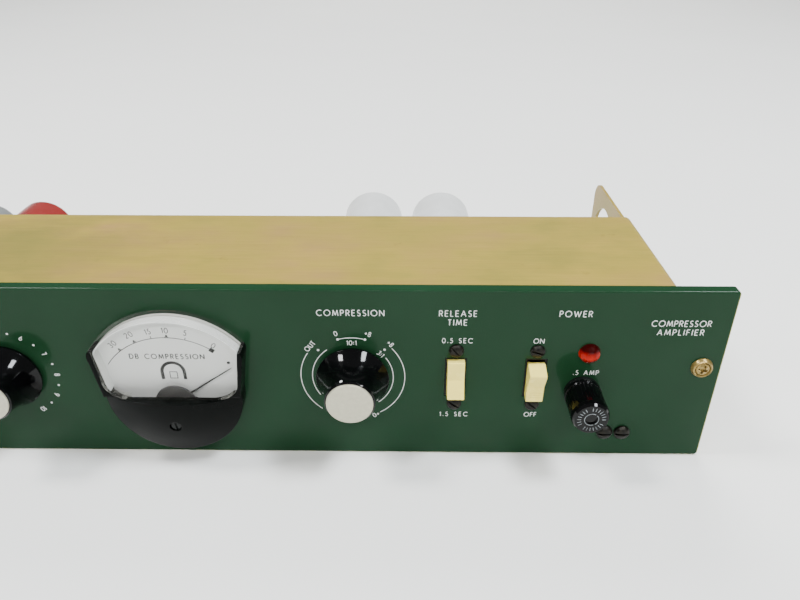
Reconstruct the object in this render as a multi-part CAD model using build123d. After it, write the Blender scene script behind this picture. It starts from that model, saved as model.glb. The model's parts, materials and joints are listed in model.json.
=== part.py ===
from build123d import *
from math import cos, pi, radians, sin
import os

# Rack compressor, 2U high, for a 19-inch rack. Millimetres.
# The pieces are drawn with x = 0 on the panel's middle, y = 0 on the panel's front face (+Y to the rear)
# and z = 0 under the chassis. export() then moves everything so that y = 0 is the middle of the depth.

# ---- driving dimensions -------------------------------------------------------------------------
PANEL_WIDTH = 482.6
PANEL_HEIGHT = 88.1
PANEL_THICKNESS = 4.8
MIDDLE_Z = PANEL_HEIGHT / 2

CHASSIS_HALF_WIDTH = 218.0
CHASSIS_HEIGHT = 87.3
CHASSIS_REAR = 82.0
SHEET = 1.5
BEND_RADIUS = 3.0
INNER_BEND_RADIUS = 0.8

EAR_REAR = 140.0
EAR_BOTTOM = 3.3
EAR_TOP = 84.8
EAR_OUTER_X = CHASSIS_HALF_WIDTH - SHEET
EAR_CORNER = 9.0
HAND_HOLE_WIDTH = 37.5
HAND_HOLE_HEIGHT = 65.0
HAND_HOLE_Y = 114.2

RACK_HOLE_X = 232.55
RACK_HOLE_Z = 50.4
RACK_SCREW_RADIUS = 2.41
RACK_SCREW_NECK = 2.0
RACK_SCREW_END = 17.0

STUD_X = (-184.0, -92.0, 0.0, 92.0, 184.0)
STUD_Z = (7.5, 80.0)
STUD_RADIUS = 1.9
LIP_HEIGHT = 13.0
COVER_SCREW_X = (-150.0, 0.0, 118.0)
COVER_SCREW_Z = 6.5

METER_X = 1.5
METER_PIVOT_Z = 33.0
METER_BARREL_Z = 42.0
METER_BARREL_RADIUS = 29.0
METER_DEPTH = 34.0
COVER_PROUD = 9.0
ARM_PROUD = 9.3
DOME_PROUD = 13.0
DOME_RADIUS = 75.0
SHELF_Z = 37.7
COVER_WALL = 1.6
DIAL_PROUD = 2.0
NEEDLE_REST_ANGLE = 34.5
NEEDLE_LENGTH = 32.2
ZERO_SCREW_Z = 24.6
ZERO_SCREW_TOP = 11.0

COMPRESSION_X = 80.1
INPUT_X = -74.0
KNOB_SKIRT_RADIUS = 16.1
KNOB_TOP_RADIUS = 10.8
KNOB_GAP = 0.8
KNOB_HEIGHT = 19.0
KNOB_CAP_RADIUS = 9.95
KNOB_CAP_TOP = 19.8
COMPRESSION_POINTER = 108.0
INPUT_POINTER = 90.0
SHAFT_RADIUS = 3.175
BUSH_RADIUS = 4.75
RUNNING_FIT = 0.06

RELEASE_X = 125.4
POWER_X = 160.5
ROCKER_WIDTH = 7.4
ROCKER_HALF = 8.9
ROCKER_TILT = 14.0
ROCKER_PIVOT_Y = 2.0
SWITCH_SCREW_PITCH = 28.6

LAMP_X = 182.8
LAMP_Z = 57.6
FUSE_X = 182.0
FUSE_Z = 37.2
FUSE_CAP_TOP = 20.0
FUSE_CAP_RIBS = 30
BRACKET_SCREW_X = (195.5, 203.5)
BRACKET_SCREW_Z = 13.7
BRACKET_DROP = 4.5
TAG_BRACKET_X = (191.3, 208.0)

CAN_RADIUS = 16.5
CAN_A_X = 84.0
CAN_B_X = 123.0
CAN_Z = 65.0
CAN_END = 130.0
WAFER = 1.5

RED_X = -103.5
RED_Z = 65.0
GREY_X = -134.5
GREY_Z = 63.5
PLUG_RADIUS = 15.2
PLUG_END = 117.0
SOCKET_RADIUS = 14.0
SOCKET_SCREW = 16.8
PIN_CIRCLE = 8.32

POWER_TRANSFORMER_X = 170.0
POWER_TRANSFORMER_END = 120.0
CORE_REAR = 101.0
GROMMET_X = 204.0
GROMMET_Z = 22.0
GROMMET_BORE = 4.0

STRIP_X = -2.0
STRIP_Z = 30.0
STRIP_WIDTH = 92.0
STRIP_PITCH = 9.5
STRIP_SCREW = 43.0

BOARD_X = (-85.0, 62.0)
BOARD_Y = 60.0
BOARD_Z = (14.0, 76.0)
OUTPUT_X = -186.0
LOOM_Y = 42.0
LOOM_Z = 81.0
LOOM_RADIUS = 2.4
DROP_RADIUS = 1.5
LOOM_DROPS = ((-176, 66), (-77, 62), (0, 73), (124, 66), (159, 64), (196, 26))


# ---- small helpers ------------------------------------------------------------------------------
def block(x0, x1, y0, y1, z0, z1):
    """A box between two corners."""
    middle = Pos((x0 + x1) / 2, (y0 + y1) / 2, (z0 + z1) / 2)
    return middle * Box(x1 - x0, y1 - y0, z1 - z0)


def rod(x, z, y0, y1, radius):
    """A round rod along Y."""
    return Pos(x, (y0 + y1) / 2, z) * Rot(90, 0, 0) * Cylinder(radius, y1 - y0)


def cross_rod(y, z, x0, x1, radius):
    """A round rod along X."""
    return Pos((x0 + x1) / 2, y, z) * Rot(0, 90, 0) * Cylinder(radius, abs(x1 - x0))


def hexagon(x, z, y0, y1, radius):
    """A six-sided prism along Y, radius to its corners."""
    outline = Plane.XZ.offset(-y1) * RegularPolygon(radius, 6)
    return Pos(x, 0, z) * extrude(outline, y1 - y0)


def nut(x, z, y0, y1, radius, bore):
    return hexagon(x, z, y0, y1, radius) - rod(x, z, y0 - 1, y1 + 1, bore)


def turned(points, x, z):
    """A solid turned about a line along Y through (x, z); points are (radius, y)."""
    profile = make_face(Polyline(*points, close=True))
    return Pos(x, 0, z) * revolve(profile, Axis.Y)


def slotted_screw(x, z, head_y, head_radius, head_height, shank_radius, end_y, slot_angle):
    """A round-head screw whose head sits on y = head_y and points to the front."""
    top = head_y - head_height
    dome = [(0, head_y), (head_radius, head_y), (head_radius * 0.97, head_y - head_height * 0.42),
            (head_radius * 0.72, head_y - head_height * 0.82), (head_radius * 0.38, top), (0, top)]
    slot = Rot(0, slot_angle, 0) * Box(head_radius * 2.4, head_height, head_radius * 0.26)
    head = turned(dome, x, z) - Pos(x, top, z) * slot
    return head + rod(x, z, head_y, end_y, shank_radius)


def screw_from_rear(x, y, z, head_radius, head_height, shank_radius, length, slot_angle):
    """The same screw turned round: its head sits on y and points to the rear."""
    front_way = slotted_screw(0, 0, 0, head_radius, head_height, shank_radius, length, slot_angle)
    return Pos(x, y, z) * Rot(0, 0, 180) * front_way


def group(solids):
    """Separate solids kept in one node."""
    return Compound(children=list(solids))


def mirror_left(solid):
    return mirror(solid, Plane.YZ)


# ---- panel and chassis --------------------------------------------------------------------------
def rocker_window(x):
    half = ROCKER_HALF + 1.4
    return block(x - 4.7, x + 4.7, -1, 9, MIDDLE_Z - half, MIDDLE_Z + half)


def switch_screw_places():
    half = SWITCH_SCREW_PITCH / 2
    return [(x, MIDDLE_Z + side * half) for x in (RELEASE_X, POWER_X) for side in (-1, 1)]


def front_panel():
    plate = block(-PANEL_WIDTH / 2, PANEL_WIDTH / 2, 0, PANEL_THICKNESS, 0, PANEL_HEIGHT)
    plate = fillet(plate.edges().filter_by(Axis.Y), 1.8)
    plate = fillet(plate.faces().sort_by(Axis.Y)[0].edges(), 0.9)
    through = [rod(METER_X, METER_BARREL_Z, -1, 9, METER_BARREL_RADIUS + 0.6)]
    through += [rod(METER_X + side * 29, 60, -1, 9, 1.8) for side in (-1, 1)]
    through += [rod(x, MIDDLE_Z, -1, 9, BUSH_RADIUS + 0.1) for x in (INPUT_X, COMPRESSION_X)]
    through += [rocker_window(x) for x in (RELEASE_X, POWER_X)]
    through += [rod(x, z, -1, 9, 1.6) for x, z in switch_screw_places()]
    through += [rod(LAMP_X, LAMP_Z, -1, 9, 4.2), rod(FUSE_X, FUSE_Z, -1, 9, 6.3)]
    through += [rod(x, BRACKET_SCREW_Z, -1, 9, 2.0) for x in BRACKET_SCREW_X]
    through += [rod(side * RACK_HOLE_X, RACK_HOLE_Z, -1, 9, 3.4) for side in (-1, 1)]
    for hole in through:
        plate -= hole
    for x in STUD_X:
        for z in STUD_Z:
            plate += rod(x, z, PANEL_THICKNESS - 1, 12, STUD_RADIUS)
    return plate


def panel_nuts():
    y = PANEL_THICKNESS + SHEET
    return group(nut(x, z, y, y + 2.6, 3.6, STUD_RADIUS + 0.05) for x in STUD_X for z in STUD_Z)


def side_screw_places():
    return [(26, 20), (26, 68), (66, 20), (66, 68)]


def chassis_box(inset, radius):
    """The chassis's outer or inner envelope: rear upright corners and top edges are bends."""
    w = CHASSIS_HALF_WIDTH - inset
    front = PANEL_THICKNESS if inset == 0 else PANEL_THICKNESS - 1
    low = 0 if inset == 0 else -1
    box = block(-w, w, front, CHASSIS_REAR - inset, low, CHASSIS_HEIGHT - inset)
    upright = box.edges().filter_by(Axis.Z).group_by(Axis.Y)[-1]
    top = box.faces().sort_by(Axis.Z)[-1].edges()
    bends = list(upright) + list(top.filter_by(Axis.Y)) + list(top.filter_by(Axis.X).group_by(Axis.Y)[-1])
    return fillet(bends, radius)


def chassis_shell():
    shell = chassis_box(0, BEND_RADIUS) - chassis_box(SHEET, INNER_BEND_RADIUS)
    lip_back = PANEL_THICKNESS + SHEET
    inner = CHASSIS_HALF_WIDTH - SHEET
    lip_bottom = CHASSIS_HEIGHT - LIP_HEIGHT
    shell += block(-inner, inner, PANEL_THICKNESS, lip_back, lip_bottom, CHASSIS_HEIGHT - 1)
    wall = (CHASSIS_REAR - SHEET - 1, CHASSIS_REAR + 1)
    cuts = [rod(x, STUD_Z[1], 3, 8, STUD_RADIUS + 0.1) for x in STUD_X]
    for side in (-1, 1):
        slot_in = side * (EAR_OUTER_X - SHEET - 0.3)
        slot_out = side * (EAR_OUTER_X + 0.05)
        low_x, high_x = min(slot_in, slot_out), max(slot_in, slot_out)
        cuts.append(block(low_x, high_x, *wall, EAR_BOTTOM - 0.3, EAR_TOP + 0.3))
        for y, z in side_screw_places():
            cuts.append(cross_rod(y, z, side * (inner - 2), side * (CHASSIS_HALF_WIDTH + 1), 2.05))
    cuts += [rod(x, CAN_Z, *wall, 12.0) for x in (CAN_A_X, CAN_B_X)]
    cuts += [rod(x, z, *wall, SOCKET_RADIUS + 0.1) for x, z in ((RED_X, RED_Z), (GREY_X, GREY_Z))]
    cuts += [rod(x, z, *wall, 1.6) for x, z in socket_screw_places()]
    cuts.append(block(POWER_TRANSFORMER_X - 16.5, POWER_TRANSFORMER_X + 16.5, *wall,
                      MIDDLE_Z - 18.5, MIDDLE_Z + 18.5))
    cuts += [rod(x, z, *wall, 2.1) for x, z in transformer_bolt_places()]
    cuts.append(rod(GROMMET_X, GROMMET_Z, *wall, 6.0))
    cuts.append(block(STRIP_X - 40, STRIP_X + 40, *wall, STRIP_Z - 3, STRIP_Z + 3))
    cuts += [rod(x, STRIP_Z, *wall, 1.6) for x in strip_screw_places()]
    cuts += [rod(x, COVER_SCREW_Z, *wall, 2.05) for x in COVER_SCREW_X]
    cuts += [rod(x, z, *wall, 1.6) for x, z in standoff_places()]
    cuts += [rod(x, z, *wall, 1.6) for x, z in output_screw_places()]
    for cut in cuts:
        shell -= cut
    return shell


def bottom_cover():
    half = EAR_OUTER_X - SHEET - 0.2
    rear = CHASSIS_REAR - SHEET
    cover = block(-half, half, PANEL_THICKNESS, rear, 0, SHEET)
    cover += block(-half, half, PANEL_THICKNESS, PANEL_THICKNESS + SHEET, 0, LIP_HEIGHT)
    cover += block(-half, half, rear - SHEET, rear, 0, LIP_HEIGHT)
    for x in STUD_X:
        cover -= rod(x, STUD_Z[0], 3, 8, STUD_RADIUS + 0.1)
    for x in COVER_SCREW_X:
        cover -= rod(x, COVER_SCREW_Z, rear - 3, rear + 1, 2.05)
    notch_bottom = BRACKET_SCREW_Z - BRACKET_DROP - 0.4
    notch = (TAG_BRACKET_X[0] - 0.5, TAG_BRACKET_X[1] + 0.5)
    lip_y = (PANEL_THICKNESS - 1, PANEL_THICKNESS + SHEET + 1)
    return cover - block(*notch, *lip_y, notch_bottom, LIP_HEIGHT + 1)


def cover_screws():
    z = COVER_SCREW_Z
    return group(screw_from_rear(x, CHASSIS_REAR, z, 3.5, 2.1, 1.95, 8, 0) for x in COVER_SCREW_X)


def cover_nuts():
    y = CHASSIS_REAR - 2 * SHEET
    return group(nut(x, COVER_SCREW_Z, y - 2.6, y, 3.6, 2.0) for x in COVER_SCREW_X)


def side_plate_right():
    inner = EAR_OUTER_X - SHEET
    plate = block(inner, EAR_OUTER_X, PANEL_THICKNESS + SHEET + 0.2, EAR_REAR, EAR_BOTTOM, EAR_TOP)
    corners = plate.edges().filter_by(Axis.X).group_by(Axis.Y)[-1]
    plate = fillet(corners, EAR_CORNER)
    radius = HAND_HOLE_WIDTH / 2
    straight = HAND_HOLE_HEIGHT / 2 - radius
    hole = block(inner - 1, EAR_OUTER_X + 1, HAND_HOLE_Y - radius, HAND_HOLE_Y + radius,
                 MIDDLE_Z - straight, MIDDLE_Z + straight)
    for side in (-1, 1):
        hole += cross_rod(HAND_HOLE_Y, MIDDLE_Z + side * straight, inner - 1, EAR_OUTER_X + 1, radius)
    plate -= hole
    for y, z in side_screw_places():
        plate -= cross_rod(y, z, inner - 1, EAR_OUTER_X + 1, 2.05)
    return plate


def chassis_screw(y, z):
    front_way = slotted_screw(0, 0, 0, 3.5, 2.0, 1.95, 8, 0)
    return Pos(CHASSIS_HALF_WIDTH, y, z) * Rot(0, 0, 90) * front_way


def chassis_screws():
    right = [chassis_screw(y, z) for y, z in side_screw_places()]
    return group(right + [mirror_left(screw) for screw in right])


def chassis_nuts():
    inner = EAR_OUTER_X - SHEET
    right = []
    for y, z in side_screw_places():
        front_way = nut(0, 0, 0, 2.6, 3.6, 2.0)
        right.append(Pos(inner, y, z) * Rot(0, 0, 90) * front_way)
    return group(right + [mirror_left(piece) for piece in right])


def rack_screw(x):
    """Oval-head captive screw: cross recess, a thin neck through the panel, then the thread."""
    thread_start = PANEL_THICKNESS + 1.6
    profile = [(0, -2.3), (1.6, -2.2), (2.8, -1.75), (3.1, -1.35), (RACK_SCREW_NECK, -0.1),
               (RACK_SCREW_NECK, thread_start), (RACK_SCREW_RADIUS, thread_start),
               (RACK_SCREW_RADIUS, RACK_SCREW_END), (0, RACK_SCREW_END)]
    recess = Box(4.2, 2.2, 1.1) + Box(1.1, 2.2, 4.2) + rod(0, 0, -1.1, 1.1, 1.1)
    return turned(profile, x, RACK_HOLE_Z) - Pos(x, -2.1, RACK_HOLE_Z) * Rot(0, 20, 0) * recess


def cup_washer(x):
    """Pressed finishing washer: a raised rim with the screw's seat sunk inside it."""
    profile = [(4.75, 0), (4.7, -0.5), (4.2, -1.7), (3.75, -2.1), (3.45, -1.9), (3.2, -1.3), (2.15, -0.12),
               (2.15, 0)]
    return turned(profile, x, RACK_HOLE_Z)


def screw_retainer(x):
    ring = rod(x, RACK_HOLE_Z, PANEL_THICKNESS, PANEL_THICKNESS + 1.2, 5.2)
    return ring - rod(x, RACK_HOLE_Z, 0, 9, RACK_SCREW_NECK + 0.05)


# ---- meter --------------------------------------------------------------------------------------
def meter_outline(inset):
    """The cover's outline in the XZ plane: round below, leaning sides, an arch on top."""
    lines = [
        ThreePointArc((-30, 39.5), (0, 7.5), (30, 39.5)),
        Line((30, 39.5), (32.5, 57)),
        ThreePointArc((32.5, 57), (32.6, 61.4), (30.7, 64.2)),
        ThreePointArc((30.7, 64.2), (0, 78), (-30.7, 64.2)),
        ThreePointArc((-30.7, 64.2), (-32.6, 61.4), (-32.5, 57)),
        Line((-32.5, 57), (-30, 39.5)),
    ]
    face = make_face(Curve() + lines)
    if inset:
        face = offset(face, amount=-inset)
    return face


def from_outline(face, y0, y1):
    """Stand an outline up in the XZ plane at the meter's place, from y0 to y1."""
    solid = extrude(face, y1 - y0)
    return Pos(METER_X, y1, 0) * Rot(90, 0, 0) * solid


def window_zone():
    """The clear part of the cover: everything above the shelf, between the two thin arms."""
    lower = make_face(Polyline((-28.6, SHELF_Z), (28.6, SHELF_Z), (31.1, 62.5), (-31.1, 62.5), close=True))
    lower = fillet(lower.vertices().group_by(Axis.Y)[0], 9)
    upper = Pos(0, 73) * Rectangle(80, 22)
    return lower + upper


def dome(proud):
    """A large ball whose front stands proud of the panel and falls away below and to the sides."""
    return Pos(METER_X, DOME_RADIUS - DOME_PROUD, SHELF_Z) * Sphere(DOME_RADIUS - DOME_PROUD + proud)


def cover_cavity():
    """The hollow of the whole cover, flat behind the window and rounded behind the dome."""
    hollow = from_outline(meter_outline(COVER_WALL), -COVER_PROUD + COVER_WALL, 1)
    upper = block(METER_X - 40, METER_X + 40, -20, 2, SHELF_Z + 2, 90)
    return (hollow & upper) + (hollow & dome(DOME_PROUD - 2 * COVER_WALL))


def meter_window():
    face = meter_outline(0) & window_zone()
    return from_outline(face, -COVER_PROUD, 0) - cover_cavity()


def meter_lower_cover():
    """Black lower half with a domed front, and an arm up each side of the window."""
    face = meter_outline(0) - window_zone()
    body = from_outline(face, -DOME_PROUD - 1, 0) & dome(DOME_PROUD)
    arms = face & (Pos(0, 60) * Rectangle(80, 42))
    body += from_outline(arms, -ARM_PROUD, 0)
    body -= cover_cavity()
    body -= rod(METER_X, ZERO_SCREW_Z, -20, 0, 2.65)
    collar = rod(METER_X, ZERO_SCREW_Z, -8.4, -6.0, 3.6) - rod(METER_X, ZERO_SCREW_Z, -20, 0, 1.6)
    return body + collar


def meter_case():
    flange = from_outline(meter_outline(COVER_WALL + 0.1), -1.4, 0)
    barrel = rod(METER_X, METER_BARREL_Z, 0, METER_DEPTH, METER_BARREL_RADIUS)
    hollow = rod(METER_X, METER_BARREL_Z, -2, METER_DEPTH - 8, METER_BARREL_RADIUS - 2.5)
    case = flange + barrel - hollow
    for side in (-1, 1):
        case -= rod(METER_X + side * 12, METER_BARREL_Z + 12, 20, 40, 2.05)
        case -= rod(METER_X + side * 29, 60, -2, 2, 1.55)
    return case


def meter_studs():
    """Two fixing studs in the flange's corners, and the two electrical terminals at the back."""
    fixing = [rod(METER_X + side * 29, 60, -1.2, 12, 1.5) for side in (-1, 1)]
    terminals = [rod(METER_X + side * 12, METER_BARREL_Z + 12, METER_DEPTH - 6, METER_DEPTH + 11, 2.0)
                 for side in (-1, 1)]
    return group(fixing + terminals)


def meter_nuts():
    fixing = [nut(METER_X + side * 29, 60, PANEL_THICKNESS, PANEL_THICKNESS + 2.4, 3.1, 1.55)
              for side in (-1, 1)]
    terminals = [nut(METER_X + side * 12, METER_BARREL_Z + 12, METER_DEPTH, METER_DEPTH + 3, 4.2, 2.05)
                 for side in (-1, 1)]
    return group(fixing + terminals)


def meter_dial():
    """White dial plate with a light rim that lines the sides and top of the window."""
    face = meter_outline(COVER_WALL + 0.5) & (Pos(0, 60) * Rectangle(80, 62))
    plate = from_outline(face, -DIAL_PROUD - 0.5, -DIAL_PROUD)
    rim = meter_outline(COVER_WALL + 0.25) - meter_outline(COVER_WALL + 0.75)
    rim = rim & (Pos(0, 70) * Rectangle(80, 60))
    plate += from_outline(rim, -COVER_PROUD + COVER_WALL + 0.3, -DIAL_PROUD)
    return plate - rod(METER_X, METER_PIVOT_Z - 3, -9, 0, 3.6)


def at_pivot(solid):
    return Pos(METER_X, 0, METER_PIVOT_Z) * solid


def meter_pivot_cover():
    """The dark front bridge over the needle's hub, on two short legs."""
    half_disc = (rod(0, 0, -5.7, -4.9, 9.2) & block(-10, 10, -6, -4, -4.5, 10)) - rod(0, 0, -7, -3, 0.68)
    for side in (-1, 1):
        half_disc += rod(side * 8.0, 0.5, -4.9, -DIAL_PROUD - 0.5, 0.9)
    return at_pivot(half_disc)


def meter_needle():
    """Needle with its counterweight tail, drawn at rest, pointing below the zero mark."""
    tip = NEEDLE_LENGTH
    outline = [(1.5, 0.5), (tip - 1.5, 0.18), (tip, 0), (tip - 1.5, -0.18), (1.5, -0.5)]
    blade = make_face(Polyline(*outline, close=True))
    blade = Rot(90, 0, 0) * extrude(blade, 0.3)
    needle = blade + block(-6, -1, -0.3, 0, -0.4, 0.4) + block(-6.2, -3.4, -0.55, 0.25, -1.1, 1.1)
    needle += rod(0, 0, -0.7, 0.5, 1.7)
    needle -= rod(0, 0, -2, 2, 0.6)
    return at_pivot(Pos(0, -3.7, 0) * Rot(0, -NEEDLE_REST_ANGLE, 0) * needle)


def meter_spindle():
    return at_pivot(rod(0, 0, -5.9, 24.5, 0.6))


def meter_coil():
    """Flat rectangular coil former round the core, with its winding."""
    frame = block(-9.6, 9.6, 6.2, 21.8, -2.2, 2.2) - block(-7.7, 7.7, 7.6, 20.4, -3, 3)
    frame -= rod(0, 0, 0, 30, 0.6)
    return at_pivot(Rot(0, -NEEDLE_REST_ANGLE, 0) * frame)


def meter_core():
    """Soft-iron core, held to the magnet by a bar that the coil's swing never reaches."""
    core = rod(0, 0, 8.4, 19.6, 7.0) + (block(-10.2, 10.2, 12.5, 15.5, -1.4, 1.4) & rod(0, 0, 12, 16, 10.2))
    return at_pivot(core - rod(0, 0, 0, 30, 0.9))


def meter_magnet():
    return at_pivot(rod(0, 0, 8, 20, 16.4) - rod(0, 0, 7, 21, 10.2))


def meter_bridge():
    """Rear bearing plate, on two pillars from the magnet."""
    floor = METER_DEPTH - 8
    plate = rod(0, 0, floor - 3, floor, 16.4) - rod(0, 0, 20, floor - 1, 0.68)
    for side in (-1, 1):
        plate += rod(0, side * 13.3, 20, floor - 3, 1.8)
    return at_pivot(plate)


def meter_hairspring():
    """Flat spiral of half-turns between the dial and the coil."""
    turns = []
    radius = 1.6
    x = -radius
    for half in range(8):
        side = 1 if half % 2 == 0 else -1
        end = x + side * 2 * radius
        turns.append(ThreePointArc((x, 0), ((x + end) / 2, side * radius), (end, 0)))
        x = end
        radius += 0.35
    strip = trace(Curve() + turns, 0.2)
    return at_pivot(Pos(0, 4.6, 0) * Rot(90, 0, 0) * extrude(strip, 0.6))


def zero_adjust_screw():
    """Slotted adjuster sunk in the lower cover, with an off-centre pin that shifts the spring's anchor."""
    head = rod(METER_X, ZERO_SCREW_Z, -ZERO_SCREW_TOP, -8.6, 2.57)
    head = chamfer(head.faces().sort_by(Axis.Y)[0].edges(), 0.4)
    head -= Pos(METER_X, -ZERO_SCREW_TOP, ZERO_SCREW_Z) * Rot(0, 80, 0) * Box(6, 1.6, 0.8)
    body = head + rod(METER_X, ZERO_SCREW_Z, -8.6, -3.6, 1.54)
    return body + rod(METER_X, ZERO_SCREW_Z + 0.8, -3.6, -1.9, 0.4)


# ---- knobs, pot and rotary switch ---------------------------------------------------------------
def knob(x, pointer_angle):
    """Bell-shaped skirted knob with a filled pointer dot beside its metal cap."""
    waist = (12.4, -9.4)
    rim = (KNOB_SKIRT_RADIUS, -2.3)
    lines = [
        Line((0, -KNOB_GAP), (KNOB_SKIRT_RADIUS - 0.4, -KNOB_GAP)),
        Line((KNOB_SKIRT_RADIUS - 0.4, -KNOB_GAP), rim),
        ThreePointArc(rim, waist, (KNOB_TOP_RADIUS, -KNOB_HEIGHT + 0.5)),
        Line((KNOB_TOP_RADIUS, -KNOB_HEIGHT + 0.5), (KNOB_TOP_RADIUS - 0.5, -KNOB_HEIGHT)),
        Line((KNOB_TOP_RADIUS - 0.5, -KNOB_HEIGHT), (0, -KNOB_HEIGHT)),
        Line((0, -KNOB_HEIGHT), (0, -KNOB_GAP)),
    ]
    body = revolve(make_face(Curve() + lines), Axis.Y)
    body -= rod(0, 0, -KNOB_HEIGHT - 1, -KNOB_CAP_TOP + 1.2, KNOB_CAP_RADIUS)
    body -= rod(0, 0, -5.0, 0, 9.0)
    body -= rod(0, 0, -14.0, 0, SHAFT_RADIUS + 0.01)
    screw_hole = Pos(0, -7.4, -8) * Cylinder(1.5, 16)
    body -= screw_hole
    dot_x = 11.0 * cos(radians(pointer_angle))
    dot_z = 11.0 * sin(radians(pointer_angle))
    body -= Pos(dot_x, -KNOB_HEIGHT + 1.5, dot_z) * Rot(0, -pointer_angle, 0) * Rot(0, 90, 0) * Cylinder(0.7, 1.4)
    return Pos(x, 0, MIDDLE_Z) * body


def knob_cap(x):
    disc = rod(x, MIDDLE_Z, -KNOB_CAP_TOP, -KNOB_CAP_TOP + 1.2, KNOB_CAP_RADIUS)
    return chamfer(disc.faces().sort_by(Axis.Y)[0].edges(), 0.3)


def knob_screw(x):
    return Pos(x, -7.4, MIDDLE_Z - 6.2) * Cylinder(1.48, 6)


def control_shaft(x, end_y):
    return rod(x, MIDDLE_Z, -14.0, end_y, SHAFT_RADIUS)


def control_nut(x):
    return nut(x, MIDDLE_Z, -2.4, 0, 7.2, BUSH_RADIUS + 0.02)


def bush(x):
    return rod(x, MIDDLE_Z, -3.4, PANEL_THICKNESS, BUSH_RADIUS)


def input_pot():
    can = rod(INPUT_X, MIDDLE_Z, PANEL_THICKNESS, 20, 12.2)
    lug_block = block(INPUT_X - 7, INPUT_X + 7, 9, 14, MIDDLE_Z - 16.5, MIDDLE_Z - 10)
    lugs = lug_block + bush(INPUT_X) + can
    for shift in (-5, 0, 5):
        lugs += block(INPUT_X + shift - 1, INPUT_X + shift + 1, 11, 11.6, MIDDLE_Z - 21, MIDDLE_Z - 16)
    return lugs - rod(INPUT_X, MIDDLE_Z, -5, 16.2, SHAFT_RADIUS + RUNNING_FIT)


def compression_switch():
    """Index plate with its bush, and two wafers held on a pair of spacers."""
    plate = rod(COMPRESSION_X, MIDDLE_Z, PANEL_THICKNESS, 9.5, 16) + bush(COMPRESSION_X)
    for y in (17, 26):
        plate += rod(COMPRESSION_X, MIDDLE_Z, y, y + 1.6, 16)
    for side in (-1, 1):
        plate += rod(COMPRESSION_X + side * 13, MIDDLE_Z, 9.5, 30, 1.6)
    for y in (17.4, 26.4):
        for step in range(12):
            lug = block(14, 19, y, y + 0.8, -0.9, 0.9)
            plate += Pos(COMPRESSION_X, 0, MIDDLE_Z) * Rot(0, step * 30 + 15, 0) * lug
    return plate - rod(COMPRESSION_X, MIDDLE_Z, -5, 40, SHAFT_RADIUS + RUNNING_FIT)


# ---- rocker switches ----------------------------------------------------------------------------
def rocker(x, tilt):
    """Rocker at its resting tilt; a positive tilt presses the top end in."""
    half = ROCKER_HALF
    upper = [(8.3, half - 0.7), (8.0, half - 0.25), (1.0, half), (-1.0, half - 1.2), (-3.8, 4.0)]
    lower = [(y, -z) for y, z in reversed(upper)]
    side_view = Polyline(*upper, *lower, (6.7, 0), close=True)
    face = Plane.YZ.offset(-ROCKER_WIDTH / 2) * Rot(0, 0, 180) * mirror(make_face(side_view), Plane.XZ)
    body = extrude(face, ROCKER_WIDTH)
    body = fillet(body.edges().filter_by(Plane.YZ).group_by(Axis.Y)[0], 0.4)
    body -= cross_rod(0, 0, -5, 5, 0.85)
    return Pos(x, ROCKER_PIVOT_Y, MIDDLE_Z) * Rot(-tilt, 0, 0) * body


def rocker_pin(x):
    return cross_rod(ROCKER_PIVOT_Y, MIDDLE_Z, x - 4.4, x + 4.4, 0.8)


def switch_body(x):
    nose_half = ROCKER_HALF + 1.2
    well_half = ROCKER_HALF + 0.6
    nose = block(x - 4.5, x + 4.5, 0.3, 6.2, MIDDLE_Z - nose_half, MIDDLE_Z + nose_half)
    body = nose + block(x - 6.5, x + 6.5, 6.2, 26, MIDDLE_Z - 12, MIDDLE_Z + 12)
    body -= block(x - 3.85, x + 3.85, -1, 8.2, MIDDLE_Z - well_half, MIDDLE_Z + well_half)
    return body - rocker_pin(x)


def switch_bracket(x):
    plate = block(x - 7, x + 7, PANEL_THICKNESS, 6.2, MIDDLE_Z - 18.2, MIDDLE_Z + 18.2)
    nose_half = ROCKER_HALF + 1.2
    plate -= block(x - 4.5, x + 4.5, 3, 9, MIDDLE_Z - nose_half, MIDDLE_Z + nose_half)
    for screw_x, z in switch_screw_places():
        if screw_x == x:
            plate -= rod(x, z, 3, 9, 1.5)
    return plate


def switch_brackets():
    return group(switch_bracket(x) for x in (RELEASE_X, POWER_X))


def rocker_pins():
    return group(rocker_pin(x) for x in (RELEASE_X, POWER_X))


def switch_screws():
    angles = (35, 50, 40, 15)
    places = switch_screw_places()
    turned_to = zip(places, angles)
    return group(slotted_screw(x, z, 0, 3.25, 1.9, 1.45, 10, angle) for (x, z), angle in turned_to)


def switch_terminals():
    lugs = []
    for x in (RELEASE_X, POWER_X):
        for shift in (-8, 0, 8):
            z = MIDDLE_Z + shift
            lug = block(x - 2, x + 2, 26, 34, z - 0.4, z + 0.4)
            lugs.append(lug - Pos(x, 32, z) * Cylinder(0.9, 2))
    return group(lugs)


# ---- lamp, fuse holder and tag bracket ----------------------------------------------------------
def lamp_jewel():
    """Faceted dome on a short round stem."""
    base = Plane.XZ * RegularPolygon(4.75, 16)
    middle = Plane.XZ.offset(2.0) * RegularPolygon(4.1, 16)
    crown = Plane.XZ.offset(3.4) * RegularPolygon(2.3, 16)
    dome = loft([base.face(), middle.face()]) + loft([middle.face(), crown.face()])
    return Pos(LAMP_X, 0, LAMP_Z) * dome + rod(LAMP_X, LAMP_Z, 0, 2.5, 3.4)


def lamp_holder():
    body = rod(LAMP_X, LAMP_Z, 0.2, PANEL_THICKNESS, 4.1) + rod(LAMP_X, LAMP_Z, PANEL_THICKNESS, 22, 6.0)
    return body - rod(LAMP_X, LAMP_Z, -1, 20, 3.45)


def lamp_bulb():
    bulb = rod(LAMP_X, LAMP_Z, 5, 12, 2.6)
    bulb = fillet(bulb.faces().sort_by(Axis.Y)[0].edges(), 2.2)
    return bulb + rod(LAMP_X, LAMP_Z, 12, 20, 3.2)


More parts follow.
